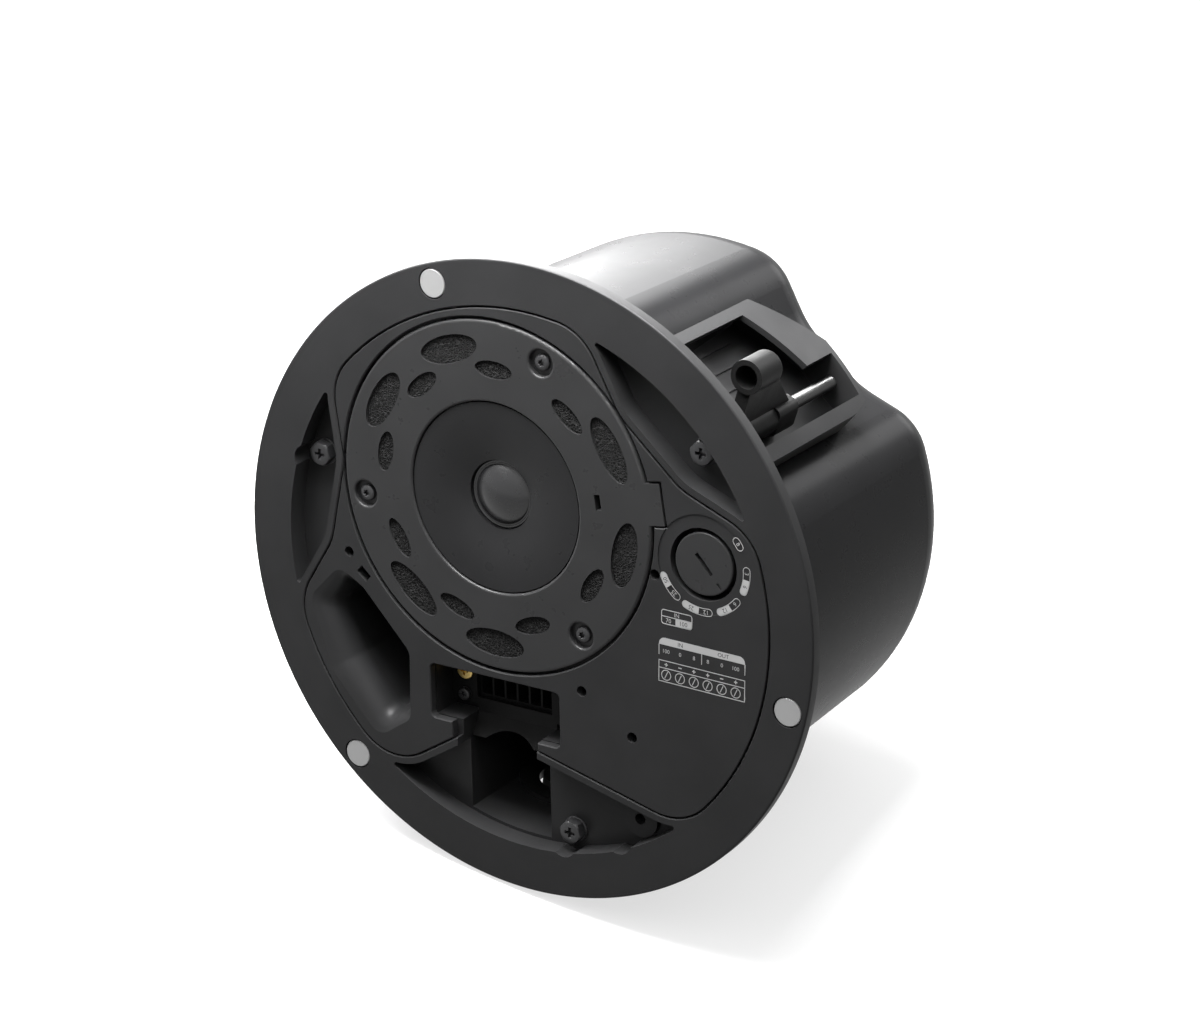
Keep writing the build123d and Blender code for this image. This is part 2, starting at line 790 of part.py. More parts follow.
def oval_faces(shrink):
    """Large ovals in pairs beside each third, small ovals between them."""
    faces = []
    for step in range(3):
        for side in (-1, 1):
            faces.append((big_oval_circle, plate_turn + 120 * step + side * big_oval_spread, big_oval))
    for step in range(1, 9):
        faces.append((small_oval_circle, plate_turn + small_oval_step * step, small_oval))
    ovals = []
    for circle, angle, (long_half, short_half) in faces:
        x, y = polar(circle, angle)
        ovals.append(Pos(x, y) * Rot(0, 0, angle + 90) * Ellipse(long_half - shrink, short_half - shrink))
    return ovals


def plate_screws():
    """Pan-head screws through the driver plate."""
    screws = []
    for x, y in plate_screw_places():
        head_bottom = front + plate_thickness - plate_pocket_floor
        head = Pos(x, y, head_bottom - 1.7) * Cylinder(
            plate_screw_head, 1.7, align=(Align.CENTER, Align.CENTER, Align.MIN))
        head = fillet(head.edges().group_by(Axis.Z)[0], 0.6)
        head -= Pos(x, y, head_bottom - 1.7) * Cylinder(1.1, 1.4)
        shank = Pos(x, y, head_bottom) * Cylinder(
            plate_screw_radius, 8.0, align=(Align.CENTER, Align.CENTER, Align.MIN))
        screws.append((head + shank).solids()[0])
    return Compound(children=screws)


def foam_disc():
    """Foam behind the driver plate, which swells into its oval openings."""
    inner = waveguide_radius + waveguide_flange + waveguide_gap
    disc = tube(ledge_ring_inner - 4 * foam_clearance, inner, seat, seat + foam_thickness)
    disc += prism(Sketch() + oval_faces(foam_clearance), front + foam_sink, seat + foam_thickness / 2) & prism(
        Circle(ledge_ring_inner - 4 * foam_clearance), front, seat + foam_thickness) + prism(
        Sketch() + oval_faces(foam_clearance), front + foam_sink, seat)
    disc = at_driver(disc)
    for x, y in plate_screw_places():
        disc -= Pos(x, y, 0) * Cylinder(plate_screw_radius + 4 * screw_clearance, 8 * foam_thickness)
    return disc


def dish_height(radius):
    """Height of the dish at a radius: flat at its rim and steepest at the throat."""
    share = (waveguide_radius - radius) / (waveguide_radius - throat_radius)
    return front + waveguide_recess + dish_depth * share ** 2


def tweeter_waveguide():
    """Shallow dish that opens from the tweeter's throat to the driver plate."""
    steps = 5
    span = waveguide_radius - throat_radius
    rim = [(waveguide_radius - span * k / steps, 0) for k in range(steps + 1)]
    curve = Spline(*[(r, dish_height(r)) for r, _ in rim])
    low = dish_height(throat_radius)
    back = seat + waveguide_wall
    lines = Polyline((throat_radius, low), (throat_radius, back), (waveguide_radius + waveguide_flange, back),
                     (waveguide_radius + waveguide_flange, seat), (waveguide_radius, seat),
                     (waveguide_radius, dish_height(waveguide_radius)))
    face = make_face(Plane.XZ * (curve + lines))
    body = revolve(face, Axis.Z)
    return at_driver(body)


def tweeter_diaphragm():
    """Soft dome with its half-roll surround, formed from one sheet."""
    base = tweeter_seat
    sphere = (dome_radius ** 2 + dome_height ** 2) / (2 * dome_height)
    center = base - dome_height + sphere
    ball = Pos(0, 0, center) * (Sphere(sphere) - Sphere(sphere - dome_wall))
    cap = ball & prism(Circle(dome_radius), base - dome_height - 1, base)
    roll_circle = dome_radius + surround_roll
    ring = Pos(0, 0, base) * (Torus(roll_circle, surround_roll) - Torus(roll_circle, surround_roll - dome_wall))
    ring = ring & prism(Circle(roll_circle + surround_roll + 1), base - surround_roll - 1, base)
    outer = roll_circle + surround_roll
    edge = tube(outer + surround_lip, outer - dome_wall, base, base + dome_wall)
    skirt = tube(dome_radius + dome_wall, dome_radius - dome_wall, base - dome_wall, base + dome_wall)
    return at_driver(largest_pieces(cap + ring + edge + skirt))


def tweeter_housing():
    """Cup that holds the tweeter's motor behind the waveguide."""
    top = tweeter_seat + dome_wall
    cup = tube(tweeter_body_radius, tweeter_body_radius - 1.5, top, top + tweeter_body_depth)
    cup += tube(tweeter_body_radius, dome_radius + 2 * surround_roll - 0.2, top, top + 1.5)
    cup += prism(Circle(tweeter_body_radius), top + tweeter_body_depth - 1.5, top + tweeter_body_depth)
    return at_driver(cup)


def tweeter_magnet():
    """Small neodymium motor with its pole cap."""
    bottom = tweeter_seat + dome_wall + tweeter_body_depth - 1.5
    pole = dome_radius - tweeter_gap - 0.3
    body = prism(Circle(tweeter_magnet_radius), bottom - tweeter_magnet_height, bottom)
    body += prism(Circle(pole), bottom - tweeter_magnet_height - 3.0, bottom - tweeter_magnet_height)
    return at_driver(body)


def tweeter_coil():
    """Voice coil that hangs from the dome's edge."""
    base = tweeter_seat + dome_wall
    return at_driver(tube(dome_radius + tweeter_coil_wall / 2, dome_radius - tweeter_coil_wall / 2 + 0.1, base, base + 5.5))


basket_front = seat + ledge_ring_wall
surround_seat = basket_front + surround_seat_depth
coil_top = surround_seat + cone_depth
spider_level = basket_front + spider_depth
motor_front = basket_front + basket_back_depth
magnet_front = motor_front + top_plate_thickness
yoke_front = magnet_front + magnet_thickness


def woofer_basket():
    """Pressed basket: mounting flange, surround seat, four legs and a back ring."""
    rim_outer = cone_radius + surround_width + 1.6
    flange_ring = tube(basket_radius, rim_outer - basket_wall, basket_front, basket_front + basket_flange)
    collar = tube(rim_outer, rim_outer - basket_wall, basket_front, surround_seat + basket_wall)
    shelf = tube(rim_outer, cone_radius + surround_width - 2.0, surround_seat, surround_seat + basket_wall)
    back = tube(top_plate_radius, coil_radius + 4.0, motor_front - basket_wall, motor_front)
    spider_seat = tube(spider_radius + spider_lip + 0.4, spider_radius + 1.0, spider_level + spider_thickness, motor_front - basket_wall + tiny)
    cone_outer = Pos(0, 0, surround_seat) * Cone(
        rim_outer, top_plate_radius, motor_front - surround_seat, align=(Align.CENTER, Align.CENTER, Align.MIN))
    cone_inner = Pos(0, 0, surround_seat) * Cone(
        rim_outer - basket_wall, top_plate_radius - basket_wall, motor_front - surround_seat,
        align=(Align.CENTER, Align.CENTER, Align.MIN))
    wall = cone_outer - cone_inner
    legs = Box(4 * basket_radius, basket_leg_width, 400) + Box(basket_leg_width, 4 * basket_radius, 400)
    legs = Rot(0, 0, plate_turn + 60) * legs
    basket = flange_ring + collar + shelf + back + spider_seat + (wall & legs)
    basket = at_driver(basket)
    for x, y in plate_screw_places():
        basket -= Pos(x, y, 0) * Cylinder(plate_screw_radius, 40)
    return largest_pieces(basket)


def woofer_surround():
    """Half-roll rubber surround."""
    middle = cone_radius + surround_width / 2
    half = surround_width / 2 - 0.6
    roll = Pos(0, 0, surround_seat) * (Torus(middle, half) - Torus(middle, half - cone_wall))
    roll = roll & prism(Circle(2 * middle), surround_seat - 2 * half, surround_seat)
    outer_lip = tube(cone_radius + surround_width - 0.3, middle + half - cone_wall, surround_seat - cone_wall, surround_seat)
    inner_lip = tube(middle - half + cone_wall, cone_radius - 1.2, surround_seat - cone_wall, surround_seat)
    return at_driver(roll + outer_lip + inner_lip)


def woofer_cone():
    """Curved paper cone."""
    mid_r = (cone_radius + coil_radius) / 2 - 3.0
    mid_z = surround_seat + cone_depth * 0.42
    inner = Spline((coil_radius, coil_top), (mid_r, mid_z), (cone_radius, surround_seat))
    outer = Spline((coil_radius, coil_top + cone_wall), (mid_r, mid_z + cone_wall), (cone_radius, surround_seat + cone_wall))
    face = make_face(Plane.XZ * (inner + outer + Line((coil_radius, coil_top), (coil_radius, coil_top + cone_wall))
                                 + Line((cone_radius, surround_seat), (cone_radius, surround_seat + cone_wall))))
    return at_driver(revolve(face, Axis.Z))


def dust_cap():
    """Domed cap over the voice coil."""
    cap_radius = coil_radius
    height = 4.0
    sphere = (cap_radius ** 2 + height ** 2) / (2 * height)
    ball = Pos(0, 0, coil_top - height + sphere) * (Sphere(sphere) - Sphere(sphere - cone_wall))
    cap = ball & prism(Circle(cap_radius), coil_top - height - 1, coil_top)
    return at_driver(largest_pieces(cap))


def woofer_voice_coil():
    """Paper former with its copper winding."""
    former = tube(coil_radius, coil_radius - former_wall, coil_top, coil_top + former_length)
    low = coil_top + former_length - winding_height
    winding = tube(coil_radius + winding_wall, coil_radius - tiny, low, coil_top + former_length)
    return at_driver(former + winding)


def woofer_spider():
    """Corrugated centring disc."""
    waves = 3
    span = spider_radius - coil_radius
    points = []
    for k in range(2 * waves + 1):
        height = spider_level + (0.9 if k % 2 else -0.9) * (0 < k < 2 * waves)
        points.append((coil_radius + 0.05 + span * k / (2 * waves), height))
    line = Spline(*points)
    line += Line(line @ 1, (spider_radius + spider_lip, spider_level))
    upper = Pos(0, spider_thickness) * line
    ends = Line(line @ 0, upper @ 0) + Line(line @ 1, upper @ 1)
    face = make_face(Plane.XZ * (line + upper + ends))
    return at_driver(revolve(face, Axis.Z))


def woofer_top_plate():
    """Steel ring in front of the magnet."""
    gap = coil_radius + winding_wall + coil_clearance
    return at_driver(tube(top_plate_radius, gap, motor_front, magnet_front))


def woofer_magnet():
    """Ferrite ring."""
    ring = tube(magnet_radius, magnet_bore, magnet_front, yoke_front)
    edges = ring.edges().filter_by(lambda e: e.geom_type == GeomType.CIRCLE and e.radius > magnet_bore + 1)
    return at_driver(chamfer(edges, 0.8))


def woofer_yoke():
    """Steel back plate with the centre pole."""
    pole = coil_radius - former_wall - coil_clearance
    body = prism(Circle(top_plate_radius), yoke_front, yoke_front + yoke_thickness)
    body += prism(Circle(pole), motor_front, yoke_front)
    body -= Pos(0, 0, motor_front) * Cylinder(4.0, 200)
    return at_driver(body)


def grille_magnets():
    """Three disc magnets that hold the grille."""
    discs = []
    for x, y in magnet_places():
        disc = Pos(x, y, front + 0.15) * Cylinder(
            grille_magnet_radius, grille_magnet_thickness - 0.15, align=(Align.CENTER, Align.CENTER, Align.MIN))
        discs.append(chamfer(disc.edges().group_by(Axis.Z)[0], 0.3).solids()[0])
    return Compound(children=discs)


def tap_knob():
    """Slotted selector knob."""
    top = front + knob_recess
    knob = Pos(0, 0, top) * Cylinder(knob_radius, knob_height, align=(Align.CENTER, Align.CENTER, Align.MIN))
    knob = fillet(knob.edges().group_by(Axis.Z)[0], knob_edge)
    length, width, depth = knob_slot
    knob -= Rot(0, 0, knob_slot_angle) * Pos(0, 0, top) * Box(length, width, 2 * depth)
    mark = Pos(knob_radius - knob_mark_length, 0, top) * Box(knob_mark_length, 0.9, 0.8)
    knob -= Rot(0, 0, knob_mark_angle) * mark
    knob -= Pos(0, 0, top + knob_height) * Cylinder(switch_shaft_radius + running_clearance - 0.05, 10)
    kx, ky = knob_center
    return Pos(kx, ky, 0) * knob


def tap_switch():
    """Rotary switch behind the baffle, in a cup that surrounds the knob."""
    kx, ky = knob_center
    cup_radius = knob_hole_radius + switch_cup_wall
    plate_front = knob_back + 0.6
    plate_back = plate_front + switch_cup_wall
    cup = tube(cup_radius, knob_hole_radius, seat, plate_front)
    cup += prism(Circle(cup_radius), plate_front, plate_back)
    square = Rectangle(switch_size, switch_size)
    square = chamfer(square.vertices(), switch_size / 7)
    return Pos(kx, ky, 0) * (cup + prism(square, plate_back, plate_back + switch_height))


def tap_shaft():
    """Shaft of the rotary switch, pressed into the knob."""
    kx, ky = knob_center
    return Pos(kx, ky, 0) * prism(Circle(switch_shaft_radius), knob_back - 5.0, knob_back + 0.5)


def header_place():
    """Limits of the header on the panel, across and along the well."""
    width, height = header_size
    u = (header_center_u - width / 2, header_center_u + width / 2)
    v = (header_center_v - height / 2, header_center_v + height / 2)
    return u, v


def terminal_panel():
    """Panel over the well's floor, with a sloped apron that has an arch for the cable."""
    (u0, u1), (v0, _) = notch_u, notch_v
    clear = header_clearance
    plate = box_between((u0 + clear, u1 - clear), (v0 + clear, shaft_v), (panel_front, panel_front + panel_thickness))
    s0, s1 = shaft_u[0] + clear, shaft_u[1] - clear
    rise, thick = apron_rise, panel_thickness
    slope = [(shaft_v - tiny, panel_front), (apron_start, panel_front), (apron_end, panel_front - rise),
             (apron_end, panel_front - rise + thick), (apron_start, panel_front + thick),
             (shaft_v - tiny, panel_front + thick)]
    plane = Plane(origin=(s0, 0, 0), x_dir=(0, 1, 0), z_dir=(1, 0, 0))
    plate += extrude(plane * polygon(slope), s1 - s0)
    au, av = apron_arch_uv
    plate -= Pos(au, av, 0) * Cylinder(apron_arch, 4 * panel_front)
    (hu0, hu1), (hv0, hv1) = header_place()
    plate -= box_between((hu0 - clear, hu1 + clear), (hv0 - clear, hv1 + clear), (panel_front - 1, panel_front + 2 * thick))
    for (u, v), radius in ((ground_screw_uv, ground_screw_radius), (panel_screw_uv, panel_screw_radius)):
        plate -= Pos(u, v, panel_front) * Cylinder(radius, 4 * thick)
    return in_well(plate)


def terminal_header():
    """Six-way plug-in header behind the panel's opening."""
    width, height = header_size
    rim_u, rim_v, rim_thick = header_rim
    face = panel_front + panel_thickness
    body = Pos(header_center_u, header_center_v, face) * Box(
        width, height, header_height, align=(Align.CENTER, Align.CENTER, Align.MIN))
    body += Pos(header_center_u, header_center_v, face) * Box(
        width + rim_u, height + rim_v, rim_thick, align=(Align.CENTER, Align.CENTER, Align.MIN))
    for way in range(header_ways):
        u = header_center_u + header_pitch * (way - (header_ways - 1) / 2)
        body -= Pos(u, header_center_v, face) * Box(header_socket[0], header_socket[1], 2 * header_socket[2])
    return in_well(body)


def header_contacts():
    """Six contact blades, one in each socket."""
    blades = []
    floor = panel_front + panel_thickness + header_socket[2]
    for way in range(header_ways):
        u = header_center_u + header_pitch * (way - (header_ways - 1) / 2)
        blade = Pos(u, header_center_v, floor) * Box(*contact_size, align=(Align.CENTER, Align.CENTER, Align.MAX))
        blades.append(in_well(blade).solids()[0])
    return Compound(children=blades)


def ground_screw():
    """Earth screw beside the header."""
    gu, gv = ground_screw_uv
    return in_well(Pos(gu, gv, 0) * panel_fastener(ground_screw_head, ground_screw_radius))


def panel_screw():
    """Small screw that holds the panel."""
    u, v = panel_screw_uv
    return in_well(Pos(u, v, 0) * panel_fastener(panel_screw_head, panel_screw_radius))


def panel_fastener(head_radius, shank_radius):
    """Cross-recess screw whose head rests on the panel."""
    high = ground_screw_height
    head = Pos(0, 0, panel_front) * Cylinder(head_radius, high, align=(Align.CENTER, Align.CENTER, Align.MAX))
    head = fillet(head.edges().group_by(Axis.Z)[0], high / 3)
    slot = head_radius / 4
    head -= Pos(0, 0, panel_front - high) * (Box(head_radius, slot, high) + Box(slot, head_radius, high))
    shank = Pos(0, 0, panel_front) * Cylinder(
        shank_radius, panel_thickness, align=(Align.CENTER, Align.CENTER, Align.MIN))
    return head + shank


def cable_clamp():
    """Bar that holds the cable below its outlet."""
    length, width, thick = clamp_bar
    u_mid = sum(shaft_u) / 2
    bar = Pos(u_mid, 0, 0) * Box(length, width, thick)
    bar -= Pos(u_mid, 0, thick / 2) * Rot(90, 0, 0) * Cylinder(clamp_bar_groove, 3 * width)
    for side in (-1, 1):
        bar -= Pos(u_mid + side * (length / 2 - 3.2), 0, 0) * Cylinder(clamp_screw_small, 3 * thick)
    return in_well(Pos(0, shaft_v + 12, front + shaft_depth - thick / 2) * bar)


def cable_clamp_screws():
    """Two screws of the cable clamp."""
    length, width, thick = clamp_bar
    top = front + shaft_depth - thick
    screws = []
    for side in (-1, 1):
        u = sum(shaft_u) / 2 + side * (length / 2 - 3.2)
        head = Pos(u, shaft_v + 12, top) * Cylinder(2.9, 1.8, align=(Align.CENTER, Align.CENTER, Align.MAX))
        shank = Pos(u, shaft_v + 12, top) * Cylinder(clamp_screw_small, thick, align=(Align.CENTER, Align.CENTER, Align.MIN))
        screws.append(in_well(head + shank).solids()[0])
    return Compound(children=screws)


def clamp_screw(angle):
    """Hex-head machine screw with a cross recess, turned from the front."""
    x, y = clamp_place(angle)
    washer = prism(Circle(hex_washer_radius), window_floor - hex_washer, window_floor)
    top = window_floor - hex_washer - hex_height
    head = prism(RegularPolygon(hex_flats / 2, 6, major_radius=False), top, window_floor - hex_washer)
    dome = Pos(0, 0, top) * Cone(hex_flats * 0.5, hex_flats * 0.5 + hex_height, hex_height,
                                 align=(Align.CENTER, Align.CENTER, Align.MIN))
    head = head & dome
    cross = Box(recess_length, recess_width, 2 * recess_depth) + Box(recess_width, recess_length, 2 * recess_depth)
    head -= Pos(0, 0, top) * cross
    shank = prism(Circle(screw_radius - 0.05), window_floor, screw_end)
    shank = chamfer(shank.edges().group_by(Axis.Z)[-1], 0.6)
    return Pos(x, y, 0) * (head + washer + shank)


def clamp_nut(angle):
    """Flanged sleeve nut that rides on the screw and carries the arm."""
    x, y = clamp_place(angle)
    bore = screw_radius
    sleeve = tube(nut_radius, bore, hub_block_start + 1.0, hub_end)
    rim = tube(nut_flange_radius, bore, hub_end, hub_end + nut_flange)
    return Pos(x, y, 0) * (sleeve + rim)


def clamp_arm(angle):
    """Swing-out arm: hub round the screw, gusseted web and a hollow foot."""
    x, y = clamp_place(angle)
    hub = prism(Circle(hub_radius), hub_front, hub_block_start)
    block = Rectangle(hub_block, hub_block)
    block = fillet(block.vertices(), hub_block_corner)
    hub += prism(block, hub_block_start, hub_end)
    foot_end = arm_front + foot_length
    side = [(0, hub_front), (hub_radius + 1.4, hub_front), (hub_radius + 4.2, arm_front + 1.2),
            (arm_length, arm_front + 1.2), (arm_length, foot_end), (hub_radius, web_heel), (0, web_heel)]
    plane = Plane(origin=(0, web_thickness / 2, 0), x_dir=(1, 0, 0), z_dir=(0, -1, 0))
    web = extrude(plane * polygon(side), web_thickness)
    foot = Pos(arm_length, 0, 0) * prism(Circle(foot_radius), arm_front, foot_end)
    foot = fillet(foot.edges().group_by(Axis.Z)[-1], 1.2)
    arm = hub + web + foot
    arm -= Pos(arm_length, 0, arm_front) * Cylinder(foot_bore, 2 * foot_bore_depth)
    arm -= prism(Circle(screw_hole_radius + 0.2), 0, hub_block_start + 1.0)
    arm -= prism(Circle(nut_radius + running_clearance), hub_block_start + 1.0 - running_clearance, hub_end + 1)
    return Pos(x, y, 0) * Rot(0, 0, angle + arm_rest_angle) * arm


def port_duct():
    """Duct that lengthens the port inside the can."""
    bottom = front + flare_depth + port_collar - duct_overlap
    outer = extrude(port_section(1, port_wall + duct_clearance + 1.6, bottom), duct_length)
    inner = extrude(port_section(1, port_wall + duct_clearance, bottom - tiny), duct_overlap + tiny)
    inner += extrude(port_section(1, 0.0, bottom + duct_overlap - tiny), duct_length)
    return outer - inner


def baffle_gasket():
    """Foam gasket under the baffle's edge."""
    ring = offset(outline, -0.3) - offset(outline, -0.3 - gasket_width)
    ring -= offset(notch_shadow(), 1.0)
    ring -= at_driver(Circle(ledge_ring_outer + plate_gap + 0.3))
    return largest_pieces(prism(ring, seat, ledge))


def transformer_core():
    """Laminated core, standing on the can's rear wall."""
    width, deep, high = transformer_stack
    x, y = transformer_center
    window_w, window_h = transformer_window
    core = Box(width, deep, high, align=(Align.CENTER, Align.CENTER, Align.MAX))
    for side in (-1, 1):
        core -= Pos(side * (width / 4 + window_w / 4), 0, -high / 2) * Box(window_w, 2 * deep, window_h)
    return Pos(x, y, can_floor - bracket_wall) * core


def transformer_coil():
    """Winding around the core's middle limb."""
    width, deep, high = transformer_stack
    x, y = transformer_center
    window_w, window_h = transformer_window
    limb = width / 2 - window_w / 2
    outer = Box(limb + 2 * window_w - 0.4, deep + 2 * coil_overhang, window_h - 0.4)
    outer = fillet(outer.edges().filter_by(Axis.Z), 2.0)
    coil = outer - Box(limb, deep, window_h)
    return Pos(x, y, can_floor - bracket_wall - high / 2) * coil


def transformer_bracket():
    """Strap over the core with two feet on the can."""
    width, deep, high = transformer_stack
    x, y = transformer_center
    wall = bracket_wall
    half = width / 2 + 0.1
    points = [(-half - wall - bracket_tab, 0), (-half, 0), (-half, -high - wall - 0.1), (half, -high - wall - 0.1), (half, 0),
              (half + wall + bracket_tab, 0), (half + wall + bracket_tab, -wall), (half + wall, -wall),
              (half + wall, -high - 2 * wall - 0.1), (-half - wall, -high - 2 * wall - 0.1), (-half - wall, -wall),
              (-half - wall - bracket_tab, -wall)]
    plane = Plane(origin=(0, deep / 3, 0), x_dir=(1, 0, 0), z_dir=(0, -1, 0))
    strap = extrude(plane * polygon(points), 2 * deep / 3)
    base = box_between((-half, half), (-deep / 3, deep / 3), (-wall, 0))
    return Pos(x, y, can_floor) * (strap + base)


def crossover_board():
    """Circuit board on four spacers on the can's rear wall."""
    x, y = board_center
    width, deep, thick = board_size
    board = Pos(0, 0, -board_standoff) * Box(width, deep, thick, align=(Align.CENTER, Align.CENTER, Align.MAX))
    for sx in (-1, 1):
        for sy in (-1, 1):
            place = (sx * (width / 2 - 4), sy * (deep / 2 - 4), 0)
            board += Pos(*place) * Cylinder(standoff_radius, board_standoff, align=(Align.CENTER, Align.CENTER, Align.MAX))
    return Pos(x, y, can_floor) * board


def crossover_inductor():
    """Air-core inductor on the board."""
    x, y = board_center
    level = can_floor - board_standoff - board_size[2]
    ring = tube(inductor_radius, inductor_radius * 0.45, level - inductor_height, level)
    ring += tube(inductor_radius + 1.2, inductor_radius * 0.4, level - 1.2, level)
    return Pos(x - board_size[0] / 4, y, 0) * ring


def crossover_capacitors():
    """Two film capacitors on the board."""
    x, y = board_center
    level = can_floor - board_standoff - board_size[2]
    cans = []
    for side in (-1, 1):
        body = Rot(90, 0, 0) * Cylinder(capacitor_radius, capacitor_length)
        body = fillet(body.edges().filter_by(GeomType.CIRCLE), 0.8)
        body = Pos(x + board_size[0] / 4 + side * (capacitor_radius + 0.3) - 1.0, y, level - capacitor_radius) * body
        cans.append(body.solids()[0])
    return Compound(children=cans)


def damping_pad():
    """Fibre pad glued to the can's rear wall."""
    x, y = pad_center
    pad = Pos(x, y, 0) * prism(Circle(pad_radius), can_floor - pad_thickness, can_floor)
    return pad


nodes = {
    "bezel": bezel(),
    "terminal_well": terminal_well(),
    "outlet_plug": outlet_plug(),
    "back_can": back_can(),
    "can_gasket": can_gasket(),
    "can_screws": can_screws(),
    "damping_pad": damping_pad(),
    "baffle": baffle(),
    "baffle_gasket": baffle_gasket(),
    "port_duct": port_duct(),
    "driver_plate": driver_plate(),
    "plate_screws": plate_screws(),
    "foam_disc": foam_disc(),
    "tweeter_waveguide": tweeter_waveguide(),
    "tweeter_diaphragm": tweeter_diaphragm(),
    "tweeter_coil": tweeter_coil(),
    "tweeter_magnet": tweeter_magnet(),
    "tweeter_housing": tweeter_housing(),
    "woofer_basket": woofer_basket(),
    "woofer_surround": woofer_surround(),
    "woofer_cone": woofer_cone(),
    "dust_cap": dust_cap(),
    "woofer_voice_coil": woofer_voice_coil(),
    "woofer_spider": woofer_spider(),
    "woofer_top_plate": woofer_top_plate(),
    "woofer_magnet": woofer_magnet(),
    "woofer_yoke": woofer_yoke(),
    "grille_magnets": grille_magnets(),
    "tap_knob": tap_knob(),
    "tap_shaft": tap_shaft(),
    "tap_switch": tap_switch(),
    "terminal_panel": terminal_panel(),
    "terminal_header": terminal_header(),
    "header_contacts": header_contacts(),
    "ground_screw": ground_screw(),
    "panel_screw": panel_screw(),
    "cable_clamp": cable_clamp(),
    "cable_clamp_screws": cable_clamp_screws(),
    "transformer_core": transformer_core(),
    "transformer_coil": transformer_coil(),
    "transformer_bracket": transformer_bracket(),
    "crossover_board": crossover_board(),
    "crossover_inductor": crossover_inductor(),
    "crossover_capacitors": crossover_capacitors(),
}
for number, clamp_angle in enumerate(clamp_angles, start=1):
    nodes[f"clamp_tower_{number}"] = clamp_tower(clamp_angle)
    nodes[f"clamp_screw_{number}"] = clamp_screw(clamp_angle)
    nodes[f"clamp_nut_{number}"] = clamp_nut(clamp_angle)
    nodes[f"clamp_arm_{number}"] = clamp_arm(clamp_angle)

for name, shape in nodes.items():
    export_step(shape, f"parts/{name}.step")
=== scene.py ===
"""Looks of the in-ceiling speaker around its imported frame: materials, threads, print, light, camera."""
import math

import bpy
from mathutils import Matrix, Vector


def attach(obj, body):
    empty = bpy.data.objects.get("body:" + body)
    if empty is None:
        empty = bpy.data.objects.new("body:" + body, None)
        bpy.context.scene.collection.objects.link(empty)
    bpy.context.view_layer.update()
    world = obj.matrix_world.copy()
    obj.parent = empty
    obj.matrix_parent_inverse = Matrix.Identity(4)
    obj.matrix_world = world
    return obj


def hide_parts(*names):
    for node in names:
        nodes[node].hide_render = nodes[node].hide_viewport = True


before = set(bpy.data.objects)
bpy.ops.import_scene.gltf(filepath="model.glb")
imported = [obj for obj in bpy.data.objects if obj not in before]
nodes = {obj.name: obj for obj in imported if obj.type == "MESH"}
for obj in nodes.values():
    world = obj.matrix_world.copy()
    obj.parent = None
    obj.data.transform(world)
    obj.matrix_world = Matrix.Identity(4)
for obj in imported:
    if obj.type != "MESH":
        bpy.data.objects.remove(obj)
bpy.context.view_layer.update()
MM = 0.001

# Camera of the reference view, in metres and in the part's frame
CAMERA_PLACE = Vector((0.6821, -0.2125, -0.8524))
CAMERA_RIGHT = Vector((0.79658, 0.26835, 0.54171))
CAMERA_UP = Vector((0.11493, -0.94696, 0.30010))
CAMERA_FORWARD = Vector((-0.59351, 0.17680, 0.78517))
CAMERA_LENS = 100.0
CAMERA_SENSOR = 36.0
CAMERA_RISE = 33.0

# Part sizes that the added pieces follow, in millimetres
FRONT = -4.2
WINDOW_FLOOR = 3.6
CLAMP_ANGLES = (-30.0, 90.0, 210.0)
PIVOT_D = 88.9
PIVOT_S = 11.65
SCREW_END = 84.1
SCREW_RADIUS = 2.43
SCREW_ROOT = 2.02
SCREW_PITCH = 0.8
HEX_FLATS = 7.8
HEX_HEIGHT = 3.6
HEX_WASHER = 0.7
HEX_WASHER_RADIUS = 4.6
KNOB_CENTER = (74.7, 0.8)


# Materials; the scales of noise and cells are in cycles per metre

CLOUD_SCALE = 45.0
SMUDGE_SCALE = 160.0
FOAM_SCALE = 1150.0
FOAM_STRUT = 0.22
FOAM_SHADE_SCALE = 700.0


def node_tree(name):
    """New material with only its output and a Principled shader."""
    material = bpy.data.materials.new(name)
    material.use_nodes = True
    tree = material.node_tree
    tree.nodes.clear()
    out = tree.nodes.new("ShaderNodeOutputMaterial")
    shader = tree.nodes.new("ShaderNodeBsdfPrincipled")
    tree.links.new(shader.outputs["BSDF"], out.inputs["Surface"])
    return material, tree, shader


def noise_node(tree, scale, detail):
    """Noise in object space."""
    coords = tree.nodes.new("ShaderNodeTexCoord")
    texture = tree.nodes.new("ShaderNodeTexNoise")
    texture.inputs["Scale"].default_value = scale
    texture.inputs["Detail"].default_value = detail
    tree.links.new(coords.outputs["Object"], texture.inputs["Vector"])
    return texture


def spread(tree, value, low, high, in_low=0.3, in_high=0.7):
    """Map a 0-1 texture value to a range."""
    node = tree.nodes.new("ShaderNodeMapRange")
    node.inputs["From Min"].default_value = in_low
    node.inputs["From Max"].default_value = in_high
    node.inputs["To Min"].default_value = low
    node.inputs["To Max"].default_value = high
    tree.links.new(value, node.inputs["Value"])
    return node.outputs["Result"]


def math_node(tree, operation, first, second):
    """Two values through one operation; a number goes straight into its socket."""
    node = tree.nodes.new("ShaderNodeMath")
    node.operation = operation
    for index, value in enumerate((first, second)):
        if isinstance(value, (int, float)):
            node.inputs[index].default_value = value
        else:
            tree.links.new(value, node.inputs[index])
    return node.outputs[0]


